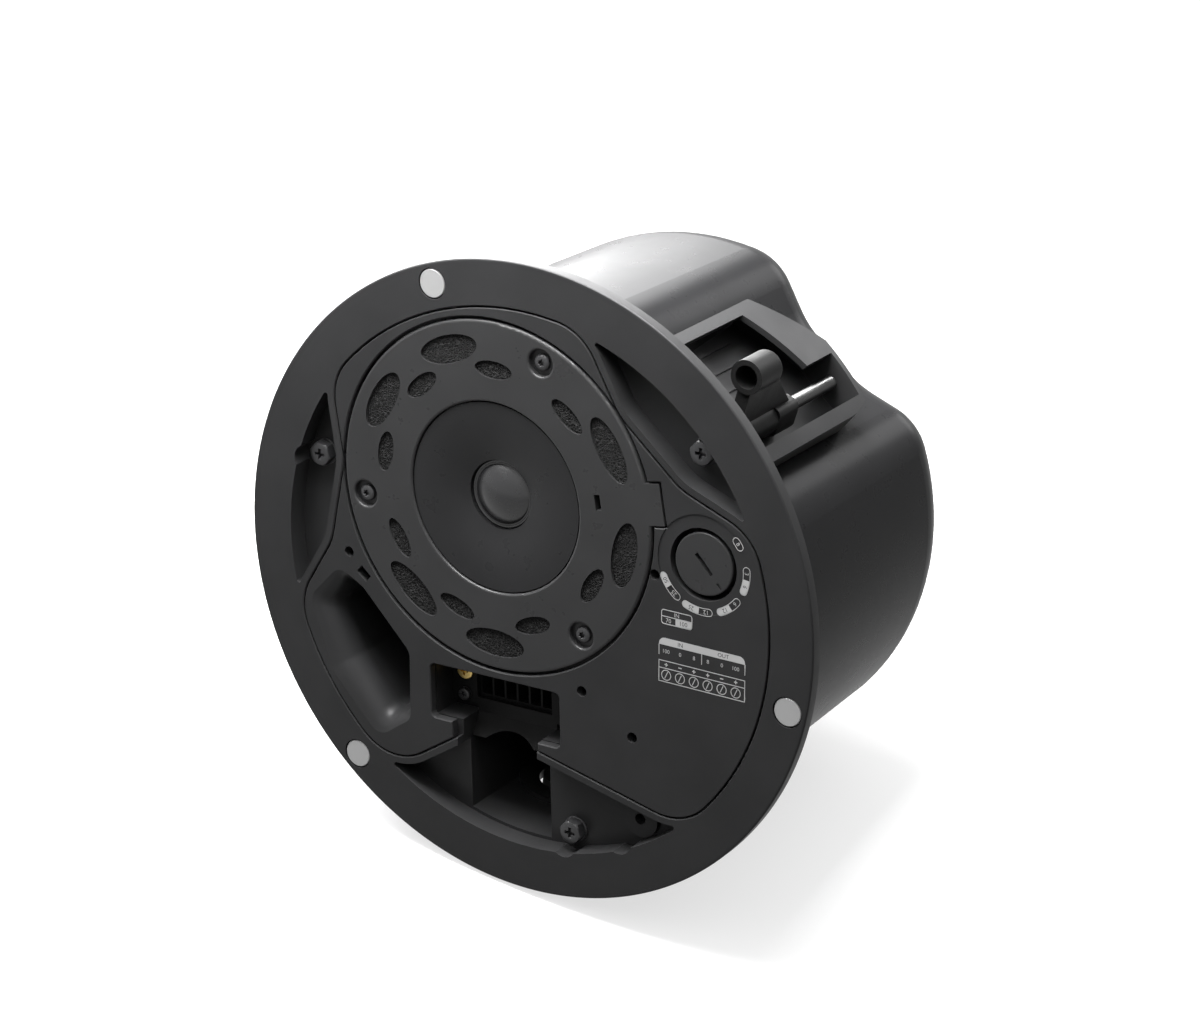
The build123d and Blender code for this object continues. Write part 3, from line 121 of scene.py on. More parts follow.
def blend_colors(tree, factor, first, second):
    """Mix two colours by a factor socket."""
    node = tree.nodes.new("ShaderNodeMix")
    node.data_type = "RGBA"
    node.inputs[6].default_value = (*first, 1.0)
    node.inputs[7].default_value = (*second, 1.0)
    tree.links.new(factor, node.inputs[0])
    return node.outputs[2]


def surface(name, color, rough=0.5, metal=0.0, specular=0.3, grain=2600.0, grain_depth=0.02,
            mottle=0.10, rough_spread=0.06, sheen=0.0):
    """Material with cloudy tone, uneven roughness and a fine surface grain."""
    material, tree, shader = node_tree(name)
    cloud = noise_node(tree, CLOUD_SCALE, 4.0)
    tone = spread(tree, cloud.outputs["Fac"], 0.0, 1.0)
    dark = [c * (1 - mottle) for c in color]
    light = [c * (1 + mottle) for c in color]
    tree.links.new(blend_colors(tree, tone, dark, light), shader.inputs["Base Color"])
    smudge = noise_node(tree, SMUDGE_SCALE, 5.0)
    gloss = spread(tree, smudge.outputs["Fac"], rough - rough_spread, rough + rough_spread)
    tree.links.new(gloss, shader.inputs["Roughness"])
    shader.inputs["Metallic"].default_value = metal
    shader.inputs["Specular IOR Level"].default_value = specular
    shader.inputs["Sheen Weight"].default_value = sheen
    if grain_depth:
        texture = noise_node(tree, grain, 2.0)
        bump = tree.nodes.new("ShaderNodeBump")
        bump.inputs["Strength"].default_value = 0.5
        bump.inputs["Distance"].default_value = grain_depth * MM
        tree.links.new(texture.outputs["Fac"], bump.inputs["Height"])
        tree.links.new(bump.outputs["Normal"], shader.inputs["Normal"])
    return material


def foam_material(name, color):
    """Open-cell foam: lighter struts, with painted shade darkening the pores between them."""
    material, tree, shader = node_tree(name)
    coords = tree.nodes.new("ShaderNodeTexCoord")
    cells = tree.nodes.new("ShaderNodeTexVoronoi")
    cells.feature = "DISTANCE_TO_EDGE"
    cells.inputs["Scale"].default_value = FOAM_SCALE
    tree.links.new(coords.outputs["Object"], cells.inputs["Vector"])
    strut = spread(tree, cells.outputs["Distance"], 1.0, 0.0, 0.0, FOAM_STRUT)
    cloud = noise_node(tree, FOAM_SHADE_SCALE, 3.0)
    tone = math_node(tree, "MULTIPLY", strut, spread(tree, cloud.outputs["Fac"], 0.35, 1.0))
    # Pores fall to 0.12 of the colour: painted shade in the foam's pores.
    shade = blend_colors(tree, tone, [c * 0.12 for c in color], color)
    tree.links.new(shade, shader.inputs["Base Color"])
    shader.inputs["Roughness"].default_value = 0.95
    shader.inputs["Specular IOR Level"].default_value = 0.1
    bump = tree.nodes.new("ShaderNodeBump")
    bump.inputs["Strength"].default_value = 1.0
    bump.inputs["Distance"].default_value = 0.5 * MM
    tree.links.new(tone, bump.inputs["Height"])
    tree.links.new(bump.outputs["Normal"], shader.inputs["Normal"])
    return material


def weave_material(name, color, pitch, depth):
    """Cloth with crossed threads."""
    material, tree, shader = node_tree(name)
    coords = tree.nodes.new("ShaderNodeTexCoord")
    waves = []
    for axis in ("X", "Y"):
        wave = tree.nodes.new("ShaderNodeTexWave")
        wave.bands_direction = axis
        wave.inputs["Scale"].default_value = 1.0 / pitch
        wave.inputs["Distortion"].default_value = 0.6
        tree.links.new(coords.outputs["Object"], wave.inputs["Vector"])
        waves.append(wave.outputs["Fac"])
    cross = math_node(tree, "MAXIMUM", *waves)
    shade = blend_colors(tree, cross, [c * 0.6 for c in color], color)
    tree.links.new(shade, shader.inputs["Base Color"])
    shader.inputs["Roughness"].default_value = 0.85
    shader.inputs["Sheen Weight"].default_value = 0.2
    bump = tree.nodes.new("ShaderNodeBump")
    bump.inputs["Distance"].default_value = depth * MM
    tree.links.new(cross, bump.inputs["Height"])
    tree.links.new(bump.outputs["Normal"], shader.inputs["Normal"])
    return material


def winding_material(name, color, pitch, direction):
    """Rows of enamelled wire."""
    material, tree, shader = node_tree(name)
    coords = tree.nodes.new("ShaderNodeTexCoord")
    wave = tree.nodes.new("ShaderNodeTexWave")
    wave.bands_direction = direction
    wave.inputs["Scale"].default_value = 1.0 / pitch
    wave.inputs["Distortion"].default_value = 0.3
    tree.links.new(coords.outputs["Object"], wave.inputs["Vector"])
    shade = blend_colors(tree, wave.outputs["Fac"], [c * 0.35 for c in color], color)
    tree.links.new(shade, shader.inputs["Base Color"])
    shader.inputs["Metallic"].default_value = 0.8
    shader.inputs["Roughness"].default_value = 0.35
    bump = tree.nodes.new("ShaderNodeBump")
    bump.inputs["Distance"].default_value = 0.15 * MM
    tree.links.new(wave.outputs["Fac"], bump.inputs["Height"])
    tree.links.new(bump.outputs["Normal"], shader.inputs["Normal"])
    return material


moulded = surface("moulded_black", (0.020, 0.020, 0.0205), rough=0.36, specular=0.12, grain=2400.0,
                  grain_depth=0.03)
plate_finish = surface("plate_black", (0.021, 0.021, 0.0215), rough=0.32, specular=0.22, grain=3200.0,
                       grain_depth=0.008)
# Darker copy of the black plastic for the tweeter waveguide and housing: painted shade of the recessed bowl.
dish_painted_shade_finish = surface("dish_black_painted_shade", (0.011, 0.011, 0.0115), rough=0.32, specular=0.2, grain=3200.0,
                      grain_depth=0.01)
# Darker copy of the black plastic for the clamp arms, tap switch and cable clamp: painted shade of the dark
# clamp bays.
arm_painted_shade_finish = surface("arm_black_painted_shade", (0.008, 0.008, 0.008), rough=0.42, specular=0.08, grain=1800.0,
                     grain_depth=0.05)
can_finish = surface("can_gloss_black", (0.010, 0.010, 0.0105), rough=0.28, specular=0.05, grain=260.0,
                     grain_depth=0.004, rough_spread=0.01, mottle=0.1)
# Darker copy of the black plastic for the terminal panel and header: painted shade of the recessed terminal
# well.
well_painted_shade_finish = surface("well_black_painted_shade", (0.008, 0.008, 0.008), rough=0.5, specular=0.08, grain=1800.0,
                      grain_depth=0.05)
dome_finish = surface("dome_film", (0.008, 0.008, 0.0085), rough=0.24, specular=0.6, grain=900.0,
                      grain_depth=0.01)
screw_black = surface("screw_black", (0.022, 0.022, 0.023), rough=0.36, specular=0.4, grain=1500.0,
                      grain_depth=0.02)
zinc = surface("zinc_plate", (0.20, 0.19, 0.175), rough=0.36, metal=1.0, grain=1400.0, grain_depth=0.02,
               mottle=0.2)
thread_steel = surface("thread_steel", (0.07, 0.07, 0.07), rough=0.34, metal=1.0, grain=1400.0,
                       grain_depth=0.01)
nickel = surface("satin_nickel", (0.34, 0.34, 0.34), rough=0.42, metal=0.55, grain=900.0, grain_depth=0.02,
                 mottle=0.05)
steel = surface("motor_steel", (0.32, 0.32, 0.31), rough=0.38, metal=1.0, grain=1200.0, grain_depth=0.03)
ferrite = surface("ferrite", (0.045, 0.045, 0.048), rough=0.6, grain=1500.0, grain_depth=0.06)
brass = surface("contact_brass", (0.52, 0.38, 0.14), rough=0.32, metal=1.0, grain=1200.0, grain_depth=0.01)
rubber = surface("rubber", (0.016, 0.016, 0.016), rough=0.7, grain=1200.0, grain_depth=0.03)
board = surface("board_green", (0.02, 0.10, 0.05), rough=0.35, grain=700.0, grain_depth=0.02, mottle=0.25)
film = surface("capacitor_film", (0.45, 0.31, 0.05), rough=0.3, grain=500.0, grain_depth=0.03)
wadding = surface("wadding", (0.62, 0.61, 0.58), rough=0.95, grain=900.0, grain_depth=0.9, mottle=0.15,
                  sheen=0.3)
paper = surface("cone_paper", (0.03, 0.029, 0.028), rough=0.85, grain=1100.0, grain_depth=0.15, mottle=0.25)
foam = foam_material("foam", (0.038, 0.038, 0.038))
spider_cloth = weave_material("spider_cloth", (0.46, 0.33, 0.11), 0.0011, 0.2)
wire_z = winding_material("wire_z", (0.55, 0.25, 0.10), 0.0009, "Z")
print_ink = surface("print_ink", (0.34, 0.34, 0.34), rough=0.6, grain=4000.0, grain_depth=0.0, mottle=0.04)

FINISHES = {
    "bezel": moulded, "baffle": moulded, "driver_plate": plate_finish, "tap_knob": plate_finish,
    "tweeter_waveguide": dish_painted_shade_finish, "tweeter_housing": dish_painted_shade_finish, "tweeter_diaphragm": dome_finish,
    "tweeter_coil": wire_z, "tweeter_magnet": steel, "back_can": can_finish, "can_gasket": foam,
    "baffle_gasket": foam, "foam_disc": foam, "can_screws": screw_black, "plate_screws": screw_black,
    "damping_pad": wadding, "port_duct": moulded, "grille_magnets": nickel, "tap_shaft": brass,
    "tap_switch": arm_painted_shade_finish, "terminal_panel": well_painted_shade_finish, "terminal_header": well_painted_shade_finish,
    "header_contacts": brass, "ground_screw": brass, "cable_clamp": arm_painted_shade_finish, "cable_clamp_screws": zinc,
    "woofer_basket": screw_black, "woofer_surround": rubber, "woofer_cone": paper, "dust_cap": paper,
    "woofer_voice_coil": wire_z, "woofer_spider": spider_cloth, "woofer_top_plate": steel,
    "woofer_magnet": ferrite, "woofer_yoke": steel, "transformer_core": steel, "transformer_coil": wire_z,
    "transformer_bracket": zinc, "crossover_board": board, "crossover_inductor": wire_z,
    "crossover_capacitors": film, "terminal_well": moulded, "outlet_plug": rubber, "panel_screw": screw_black,
}
for clamp in (1, 2, 3):
    FINISHES[f"clamp_tower_{clamp}"] = moulded
    FINISHES[f"clamp_arm_{clamp}"] = arm_painted_shade_finish
    FINISHES[f"clamp_nut_{clamp}"] = thread_steel
    FINISHES[f"clamp_screw_{clamp}"] = zinc
for node_name, node in nodes.items():
    node.data.materials.clear()
    node.data.materials.append(FINISHES[node_name])


# Mesh helpers

def add_object(name, mesh, material):
    """Link a mesh to the scene with one material."""
    mesh.materials.append(material)
    piece = bpy.data.objects.new(name, mesh)
    bpy.context.scene.collection.objects.link(piece)
    return piece


def mesh_from(name, vertices, faces):
    """Mesh in metres from points in millimetres."""
    mesh = bpy.data.meshes.new(name)
    mesh.from_pydata([Vector(v) * MM for v in vertices], [], faces)
    mesh.update()
    return mesh


def clamp_place(angle):
    """Axis of one clamp screw, in millimetres."""
    a = math.radians(angle)
    return (PIVOT_D * math.cos(a) - PIVOT_S * math.sin(a), PIVOT_D * math.sin(a) + PIVOT_S * math.cos(a))


# Clamp screws with real threads

THREAD_FLANK = 1.25
HEX_EDGE = 1.155
HEAD_LEVELS = ((0.93, 0.0, 1.0), (0.985, 0.12, 1.0), (1.0, 0.55, 0.25))
HEAD_STEPS = 10
HEAD_OVERLAP = 0.05
WASHER_SIDES = 60
WASHER_BEVEL = (0.25, 0.2)
WASHER_SINK = 0.02
SHANK_START = 0.3
RECESS_TURN = 20
RECESS_TAPER = 0.55
RECESS_SIZE = (4.8, 1.15, 1.7)


def threaded_shank(bottom, top, sides=30, rows_per_turn=6):
    """Closed rod whose wall follows a V thread."""
    rows = int((top - bottom) / SCREW_PITCH * rows_per_turn)
    vertices, faces = [], []
    for row in range(rows + 1):
        z = bottom + (top - bottom) * row / rows
        fade = min(1.0, (top - z) / SCREW_PITCH)
        for side in range(sides):
            turn = side / sides
            phase = (z / SCREW_PITCH + turn) % 1.0
            crest = 1.0 - abs(2.0 * phase - 1.0)
            radius = SCREW_ROOT + (SCREW_RADIUS - SCREW_ROOT) * min(1.0, crest * THREAD_FLANK) * fade
            angle = 2 * math.pi * turn
            vertices.append((radius * math.cos(angle), radius * math.sin(angle), z))
    for row in range(rows):
        for side in range(sides):
            a = row * sides + side
            b = row * sides + (side + 1) % sides
            faces.append((a, b, b + sides, a + sides))
    faces.append(tuple(reversed(range(sides))))
    faces.append(tuple(range(rows * sides, (rows + 1) * sides)))
    return vertices, faces


def ring(radius, z, count):
    """Points on a circle."""
    turns = [2 * math.pi * i / count for i in range(count)]
    return [(radius * math.cos(a), radius * math.sin(a), z) for a in turns]


def stacked(rings):
    """Closed shape through rings that have the same number of points."""
    count = len(rings[0])
    vertices = [p for points in rings for p in points]
    faces = [tuple(reversed(range(count)))]
    for level in range(len(rings) - 1):
        for i in range(count):
            a, b = level * count + i, level * count + (i + 1) % count
            faces.append((a, b, b + count, a + count))
    faces.append(tuple(range((len(rings) - 1) * count, len(rings) * count)))
    return vertices, faces


def hex_ring(flats, z, per_side, round_off):
    """Points round a hexagon, pulled toward a circle by a share."""
    points = []
    for i in range(6 * per_side):
        angle = 2 * math.pi * i / (6 * per_side)
        local = (angle + math.pi / 6) % (math.pi / 3) - math.pi / 6
        flat = flats / 2 / math.cos(local)
        radius = min(flat, flats / 2 * (HEX_EDGE - (HEX_EDGE - 1) * round_off))
        points.append((radius * math.cos(angle), radius * math.sin(angle), z))
    return points


def join_parts(name, parts, smooth_angle=35):
    """One mesh of several closed shells."""
    vertices, faces = [], []
    for part_vertices, part_faces in parts:
        base = len(vertices)
        vertices += part_vertices
        faces += [tuple(base + i for i in face) for face in part_faces]
    mesh = mesh_from(name, vertices, faces)
    mesh.polygons.foreach_set("use_smooth", [True] * len(mesh.polygons))
    mesh.set_sharp_from_angle(angle=math.radians(smooth_angle))
    return mesh


def cross_recess(piece, z):
    """Cut a cross recess in the head with a boolean."""
    length, width, depth = RECESS_SIZE
    cutter_parts = []
    for turn in (0, 90):
        a = math.radians(turn + RECESS_TURN)
        u, v = (math.cos(a), math.sin(a)), (-math.sin(a), math.cos(a))
        corners = []
        for level, grow in ((z - 1.0, 1.0), (z + depth, RECESS_TAPER)):
            for su, sv in ((-1, -1), (1, -1), (1, 1), (-1, 1)):
                x = su * length / 2 * grow * u[0] + sv * width / 2 * v[0]
                y = su * length / 2 * grow * u[1] + sv * width / 2 * v[1]
                corners.append((x, y, level))
        faces = [(3, 2, 1, 0), (4, 5, 6, 7), (0, 1, 5, 4), (1, 2, 6, 5), (2, 3, 7, 6), (3, 0, 4, 7)]
        cutter_parts.append((corners, faces))
    for vertices, faces in cutter_parts:
        cutter = bpy.data.objects.new("cutter", mesh_from("cutter", vertices, faces))
        bpy.context.scene.collection.objects.link(cutter)
        cut = piece.modifiers.new("recess", "BOOLEAN")
        cut.operation = "DIFFERENCE"
        cut.solver = "EXACT"
        cut.object = cutter
        bpy.context.view_layer.update()
        made = bpy.data.meshes.new_from_object(piece.evaluated_get(bpy.context.evaluated_depsgraph_get()))
        piece.modifiers.clear()
        piece.data = made
        bpy.data.objects.remove(cutter)


def build_clamp_screw(number, angle):
    """Hex head with a washer face and cross recess, and a threaded shank."""
    washer_front = WINDOW_FLOOR - HEX_WASHER
    head_top = washer_front - HEX_HEIGHT
    levels = [hex_ring(HEX_FLATS * share, head_top + rise, HEAD_STEPS, round_off)
              for share, rise, round_off in HEAD_LEVELS]
    levels.append(hex_ring(HEX_FLATS, washer_front + HEAD_OVERLAP, HEAD_STEPS, 0.0))
    washer = stacked([
        ring(HEX_WASHER_RADIUS - WASHER_BEVEL[0], washer_front, WASHER_SIDES),
        ring(HEX_WASHER_RADIUS, washer_front + WASHER_BEVEL[1], WASHER_SIDES),
        ring(HEX_WASHER_RADIUS, WINDOW_FLOOR - WASHER_SINK, WASHER_SIDES),
    ])
    shank = threaded_shank(WINDOW_FLOOR - SHANK_START, SCREW_END)
    top_part = add_object(f"clamp_bolt_{number}", join_parts("bolt", [stacked(levels)]), screw_black)
    cross_recess(top_part, head_top)
    rest = add_object(f"clamp_shank_{number}", join_parts("shank", [washer]), screw_black)
    thread = add_object(f"clamp_thread_{number}", join_parts("thread", [shank], 60), thread_steel)
    x, y = clamp_place(angle)
    for piece in (top_part, rest, thread):
        piece.data.transform(Matrix.Translation(Vector((x, y, 0)) * MM))
        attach(piece, f"screw_{number}")
    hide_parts(f"clamp_screw_{number}")


for index, clamp_angle in enumerate(CLAMP_ANGLES, start=1):
    build_clamp_screw(index, clamp_angle)


# Screws of the driver plate, with a six-lobed recess

PLATE_CENTER_Y = -30.8
PLATE_SCREW_CIRCLE = 53.8
PLATE_SCREW_ANGLES = (69.0, 189.0, 309.0)
PLATE_SCREW_SEAT = -2.2
PLATE_SCREW_END = 5.8
HEAD_RADIUS = 2.9
SHANK_RADIUS = 1.4
LOBE_RADIUS = 1.05
LOBE_DEPTH = 0.2
LOBE_TAPER = 0.9
LOBE_BEVEL = (0.08, 0.1)
LOBE_SINK = 1.1
HEAD_RISE = 1.5
HEAD_PROFILE = ((0.0, -0.35), (0.06, -0.65), (0.22, -0.95), (0.5, -1.2), (0.85, -1.38), (1.3, -1.48))
POINT_TAPER = 0.8
POINT_LENGTH = 0.4
SIDES = 72


def lobed_ring(radius, z, lobes=6):
    """Points of a six-lobed outline."""
    points = []
    for i in range(SIDES):
        a = 2 * math.pi * i / SIDES
        r = radius + LOBE_DEPTH * math.cos(lobes * a)
        points.append((r * math.cos(a), r * math.sin(a), z))
    return points


def build_plate_screws():
    """Three round-headed screws in one piece."""
    top = PLATE_SCREW_SEAT - HEAD_RISE
    rings = [
        ring(SHANK_RADIUS * POINT_TAPER, PLATE_SCREW_END, SIDES),
        ring(SHANK_RADIUS, PLATE_SCREW_END - POINT_LENGTH, SIDES),
        ring(SHANK_RADIUS, PLATE_SCREW_SEAT, SIDES),
        ring(HEAD_RADIUS, PLATE_SCREW_SEAT, SIDES),
    ]
    rings += [ring(HEAD_RADIUS - inset, PLATE_SCREW_SEAT + rise, SIDES) for inset, rise in HEAD_PROFILE]
    rings += [
        lobed_ring(LOBE_RADIUS + LOBE_BEVEL[0], top),
        lobed_ring(LOBE_RADIUS, top + LOBE_BEVEL[1]),
        lobed_ring(LOBE_RADIUS * LOBE_TAPER, top + LOBE_SINK),
    ]
    vertices, faces = stacked(rings)
    outward = [tuple(reversed(face)) for face in faces]
    shells = []
    for angle in PLATE_SCREW_ANGLES:
        a = math.radians(angle)
        x, y = PLATE_SCREW_CIRCLE * math.cos(a), PLATE_SCREW_CIRCLE * math.sin(a) + PLATE_CENTER_Y
        shells.append(([(vx + x, vy + y, vz) for vx, vy, vz in vertices], outward))
    screws = add_object("plate_screw_set", join_parts("plate_screw_set", shells, 40), screw_black)
    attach(screws, "speaker_body")
    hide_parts("plate_screws")


build_plate_screws()


# Rounded edge of the flange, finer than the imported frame's facets

FLANGE_RADIUS = 112.0
FLANGE_ROUND = 0.6
RIM_WIDTH = 1.2
RIM_SKIN = 0.012
RIM_SIDES = 720
RIM_STEPS = 6


def band(profile, count):
    """Closed ring that turns a closed outline of radius and height about the axis."""
    rings = [ring(radius, z, count) for radius, z in profile]
    vertices = [p for points in rings for p in points]
    faces = []
    for level in range(len(rings)):
        here, after = level * count, (level + 1) % len(rings) * count
        for i in range(count):
            j = (i + 1) % count
            faces.append((here + i, here + j, after + j, after + i))
    return vertices, faces


def build_flange_rim():
    """Thin skin over the flange's front round and side."""
    inner = FLANGE_RADIUS - RIM_WIDTH
    round_radius, round_z = FLANGE_RADIUS - FLANGE_ROUND, FRONT + FLANGE_ROUND
    reach = FLANGE_ROUND + RIM_SKIN
    profile = [(inner, FRONT - RIM_SKIN)]
    for step in range(RIM_STEPS + 1):
        a = math.pi / 2 * step / RIM_STEPS
        profile.append((round_radius + reach * math.sin(a), round_z - reach * math.cos(a)))
    profile += [(FLANGE_RADIUS + RIM_SKIN, 0.0), (inner, -FLANGE_ROUND)]
    rim = add_object("flange_rim", join_parts("flange_rim", [band(profile, RIM_SIDES)], 40), moulded)
    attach(rim, "speaker_body")


build_flange_rim()


# Print on the baffle

INK_BACK = FRONT - 0.005
INK_FRONT = FRONT - 0.03
INK_OVER = FRONT - 0.04
LINE = 0.28
PRINT_ORIGIN = (47.6, 30.3)
PRINT_TURN = 18.55
PILL_CIRCLE = 16.2
PILL_HALF = 1.25
PILL_LINE = 0.22
PILLS = (
    (-27.0, -10.5, None, "8", None),
    (9.3, 25.0, 44.4, "3", "6"),
    (52.4, 69.0, 88.7, "6", "12"),
    (95.5, 113.5, 136.0, "12", "25"),
    (140.6, 160.0, 178.1, "25", "50"),
)
TABLE_WIDTH = 32.4
TABLE_ROW = 2.6
TABLE_DEPTH = 7.4
BAR_TOP, BAR_END, SIDE_END = -8.1, -5.6, -1.9
BAR_ROUND = 2.2
WAY_START, WAY_PITCH = 2.8, 5.25
WAY_CIRCLE = 1.75
WAY_SIDES = 20
WAY_SLOT = (0.55, 1.2)
WAY_SIGNS = "+-++-+"
WAY_NUMBERS = ("100", "0", "8", "8", "0", "100")
SIGN_HALF = 0.62
SIGN_LINE = 0.36
BOX_LEFT, BOX_RIGHT, BOX_SPLIT = 0.9, 12.4, 6.2
BOX_TOP, BOX_MIDDLE, BOX_END = -18.0, -15.7, -13.1
BOX_ROUND = 0.9
SQUARE = 0.01
DIAL_TEXT = 1.45
DIAL_TEXT_BACK = 1.0
WAY_TEXT = 1.35
WAY_TEXT_DROP = 0.3
BAR_TEXT = 1.4
BOX_TEXT = 1.5


def slab(outline, front=INK_FRONT):
    """Thin prism of ink from a closed outline in millimetres."""
    count = len(outline)
    vertices = [(x, y, front) for x, y in outline] + [(x, y, INK_BACK) for x, y in outline]
    faces = [tuple(reversed(range(count))), tuple(range(count, 2 * count))]
    for i in range(count):
        j = (i + 1) % count
        faces.append((i, j, j + count, i + count))
    return vertices, faces


def on_print(p, q):
    """Point of the print's own frame, in the part's plan."""
    a = math.radians(PRINT_TURN)
    return (PRINT_ORIGIN[0] + p * math.cos(a) - q * math.sin(a),
            PRINT_ORIGIN[1] + p * math.sin(a) + q * math.cos(a))


def stroke(start, end, width=LINE):
    """Straight bar of ink between two points of the plan."""
    dx, dy = end[0] - start[0], end[1] - start[1]
    length = math.hypot(dx, dy)
    nx, ny = -dy / length * width / 2, dx / length * width / 2
    return slab([(start[0] + nx, start[1] + ny), (start[0] - nx, start[1] - ny),
                 (end[0] - nx, end[1] - ny), (end[0] + nx, end[1] + ny)])


def print_line(p0, q0, p1, q1, width=LINE):
    """Straight bar of ink in the print's frame."""
    return stroke(on_print(p0, q0), on_print(p1, q1), width)


def outline_strokes(points, width=LINE):
    """Bars along a closed row of points."""
    return [stroke(start, end, width) for start, end in zip(points, points[1:] + points[:1])]


def rounded_box(p0, q0, p1, q1, rounds, steps=5):
    """Outline of a box in the print's frame with its own radius at each corner."""
    points = []
    corners = ((p0, q0, 180), (p1, q0, 270), (p1, q1, 0), (p0, q1, 90))
    for (p, q, turn), radius in zip(corners, rounds):
        cp = p + radius if p == p0 else p - radius
        cq = q + radius if q == q0 else q - radius
        for k in range(steps + 1):
            a = math.radians(turn + 90 * k / steps)
            points.append(on_print(cp + radius * math.cos(a), cq + radius * math.sin(a)))
    return points


def dial_point(turn, radius):
    """Point about the knob's centre."""
    a = math.radians(turn)
    return KNOB_CENTER[0] + radius * math.cos(a), KNOB_CENTER[1] + radius * math.sin(a)


def arc_end(turn, side, steps=6):
    """Points of the half circle that ends a band."""
    cx, cy = dial_point(turn, PILL_CIRCLE)
    points = []
    for k in range(1, steps):
        a = math.radians(turn + side + 180 * k / steps)
        points.append((cx + PILL_HALF * math.cos(a), cy + PILL_HALF * math.sin(a)))
    return points


def pill_outline(start, end, round_start, steps=8):
    """Band along the dial with a round far end, and a round or a square near end."""
    cap = math.degrees(PILL_HALF / PILL_CIRCLE)
    first = start + cap if round_start else start
    last = end - cap
    turns = [first + (last - first) * k / steps for k in range(steps + 1)]
    points = [dial_point(t, PILL_CIRCLE + PILL_HALF) for t in turns]
    points += arc_end(last, 0)
    points += [dial_point(t, PILL_CIRCLE - PILL_HALF) for t in reversed(turns)]
    if round_start:
        points += arc_end(first, 180)
    return points


def letters(text, place, right, up, height, front):
    """Flat text as a mesh, centred on a point of the plan."""
    curve = bpy.data.curves.new("letters", "FONT")
    curve.body = text
    curve.size = 1.0
    curve.resolution_u = 3
    carrier = bpy.data.objects.new("letters", curve)
    bpy.context.scene.collection.objects.link(carrier)
    bpy.context.view_layer.update()
    flat = bpy.data.meshes.new_from_object(carrier.evaluated_get(bpy.context.evaluated_depsgraph_get()))
    xs = [v.co.x for v in flat.vertices]
    ys = [v.co.y for v in flat.vertices]
    scale = height / (max(ys) - min(ys))
    cx, cy = (max(xs) + min(xs)) / 2, (max(ys) + min(ys)) / 2
    vertices = []
    for v in flat.vertices:
        a, b = (v.co.x - cx) * scale, (v.co.y - cy) * scale
        x, y = (place[i] + a * right[i] + b * up[i] for i in (0, 1))
        vertices.append((x, y, front))
    faces = [tuple(reversed(f.vertices)) for f in flat.polygons]
    bpy.data.objects.remove(carrier)
    return vertices, faces


def print_letters(text, p, q, height, front=INK_FRONT):
    """Text that reads along the print's frame."""
    a = math.radians(PRINT_TURN)
    right, up = (math.cos(a), math.sin(a)), (math.sin(a), -math.cos(a))
    return letters(text, on_print(p, q), right, up, height, front)


def dial_letters(text, turn, height, front=INK_FRONT):
    """Text on the dial, its top away from the knob."""
    a = math.radians(turn)
    right, up = (-math.sin(a), math.cos(a)), (math.cos(a), math.sin(a))
    return letters(text, dial_point(turn, PILL_CIRCLE), right, up, height, front)


def tap_marks():
    """Rounded fields round the selector's dial, the filled ones with dark numbers."""
    pale, dark = [], []
    for start, split, end, first_text, second_text in PILLS:
        pale += outline_strokes(pill_outline(start, end or split, True), PILL_LINE)
        pale.append(dial_letters(first_text, (start + split) / 2, DIAL_TEXT))
        if end:
            pale.append(slab(pill_outline(split, end, False)))
            dark.append(dial_letters(second_text, (split + end) / 2 - DIAL_TEXT_BACK, DIAL_TEXT, INK_OVER))
    return pale, dark


def way_marks(p, sign, number):
    """One way of the header's table: sign, number and screw."""
    middle = (TABLE_ROW + TABLE_DEPTH) / 2
    circle = []
    for k in range(WAY_SIDES):
        a = 2 * math.pi * k / WAY_SIDES
        circle.append(on_print(p + WAY_CIRCLE * math.cos(a), middle + WAY_CIRCLE * math.sin(a)))
    marks = outline_strokes(circle)
    marks.append(print_line(p - WAY_SLOT[0], middle + WAY_SLOT[1], p + WAY_SLOT[0], middle - WAY_SLOT[1]))
    row = TABLE_ROW / 2
    marks.append(print_line(p - SIGN_HALF, row, p + SIGN_HALF, row, SIGN_LINE))
    if sign == "+":
        marks.append(print_line(p, row - SIGN_HALF, p, row + SIGN_HALF, SIGN_LINE))
    marks.append(print_letters(number, p, (BAR_END + SIDE_END) / 2 + WAY_TEXT_DROP, WAY_TEXT))
    return marks


def table_marks():
    """Table of the header's six ways under a filled bar."""
    pale = [slab(rounded_box(0, BAR_TOP, TABLE_WIDTH, BAR_END, (BAR_ROUND, BAR_ROUND, SQUARE, SQUARE)))]
    for p in (0, TABLE_WIDTH / 2, TABLE_WIDTH):
        pale.append(print_line(p, BAR_END, p, SIDE_END))
    for q in (0, TABLE_ROW, TABLE_DEPTH):
        pale.append(print_line(-LINE / 2, q, TABLE_WIDTH + LINE / 2, q))
    for p in (0, TABLE_WIDTH):
        pale.append(print_line(p, 0, p, TABLE_DEPTH))
    for index, (sign, number) in enumerate(zip(WAY_SIGNS, WAY_NUMBERS)):
        pale += way_marks(WAY_START + WAY_PITCH * index, sign, number)
    bar_middle = (BAR_TOP + BAR_END) / 2
    dark = [print_letters("IN", TABLE_WIDTH / 4, bar_middle, BAR_TEXT, INK_OVER),
            print_letters("OUT", 3 * TABLE_WIDTH / 4, bar_middle, BAR_TEXT, INK_OVER)]
    return pale, dark


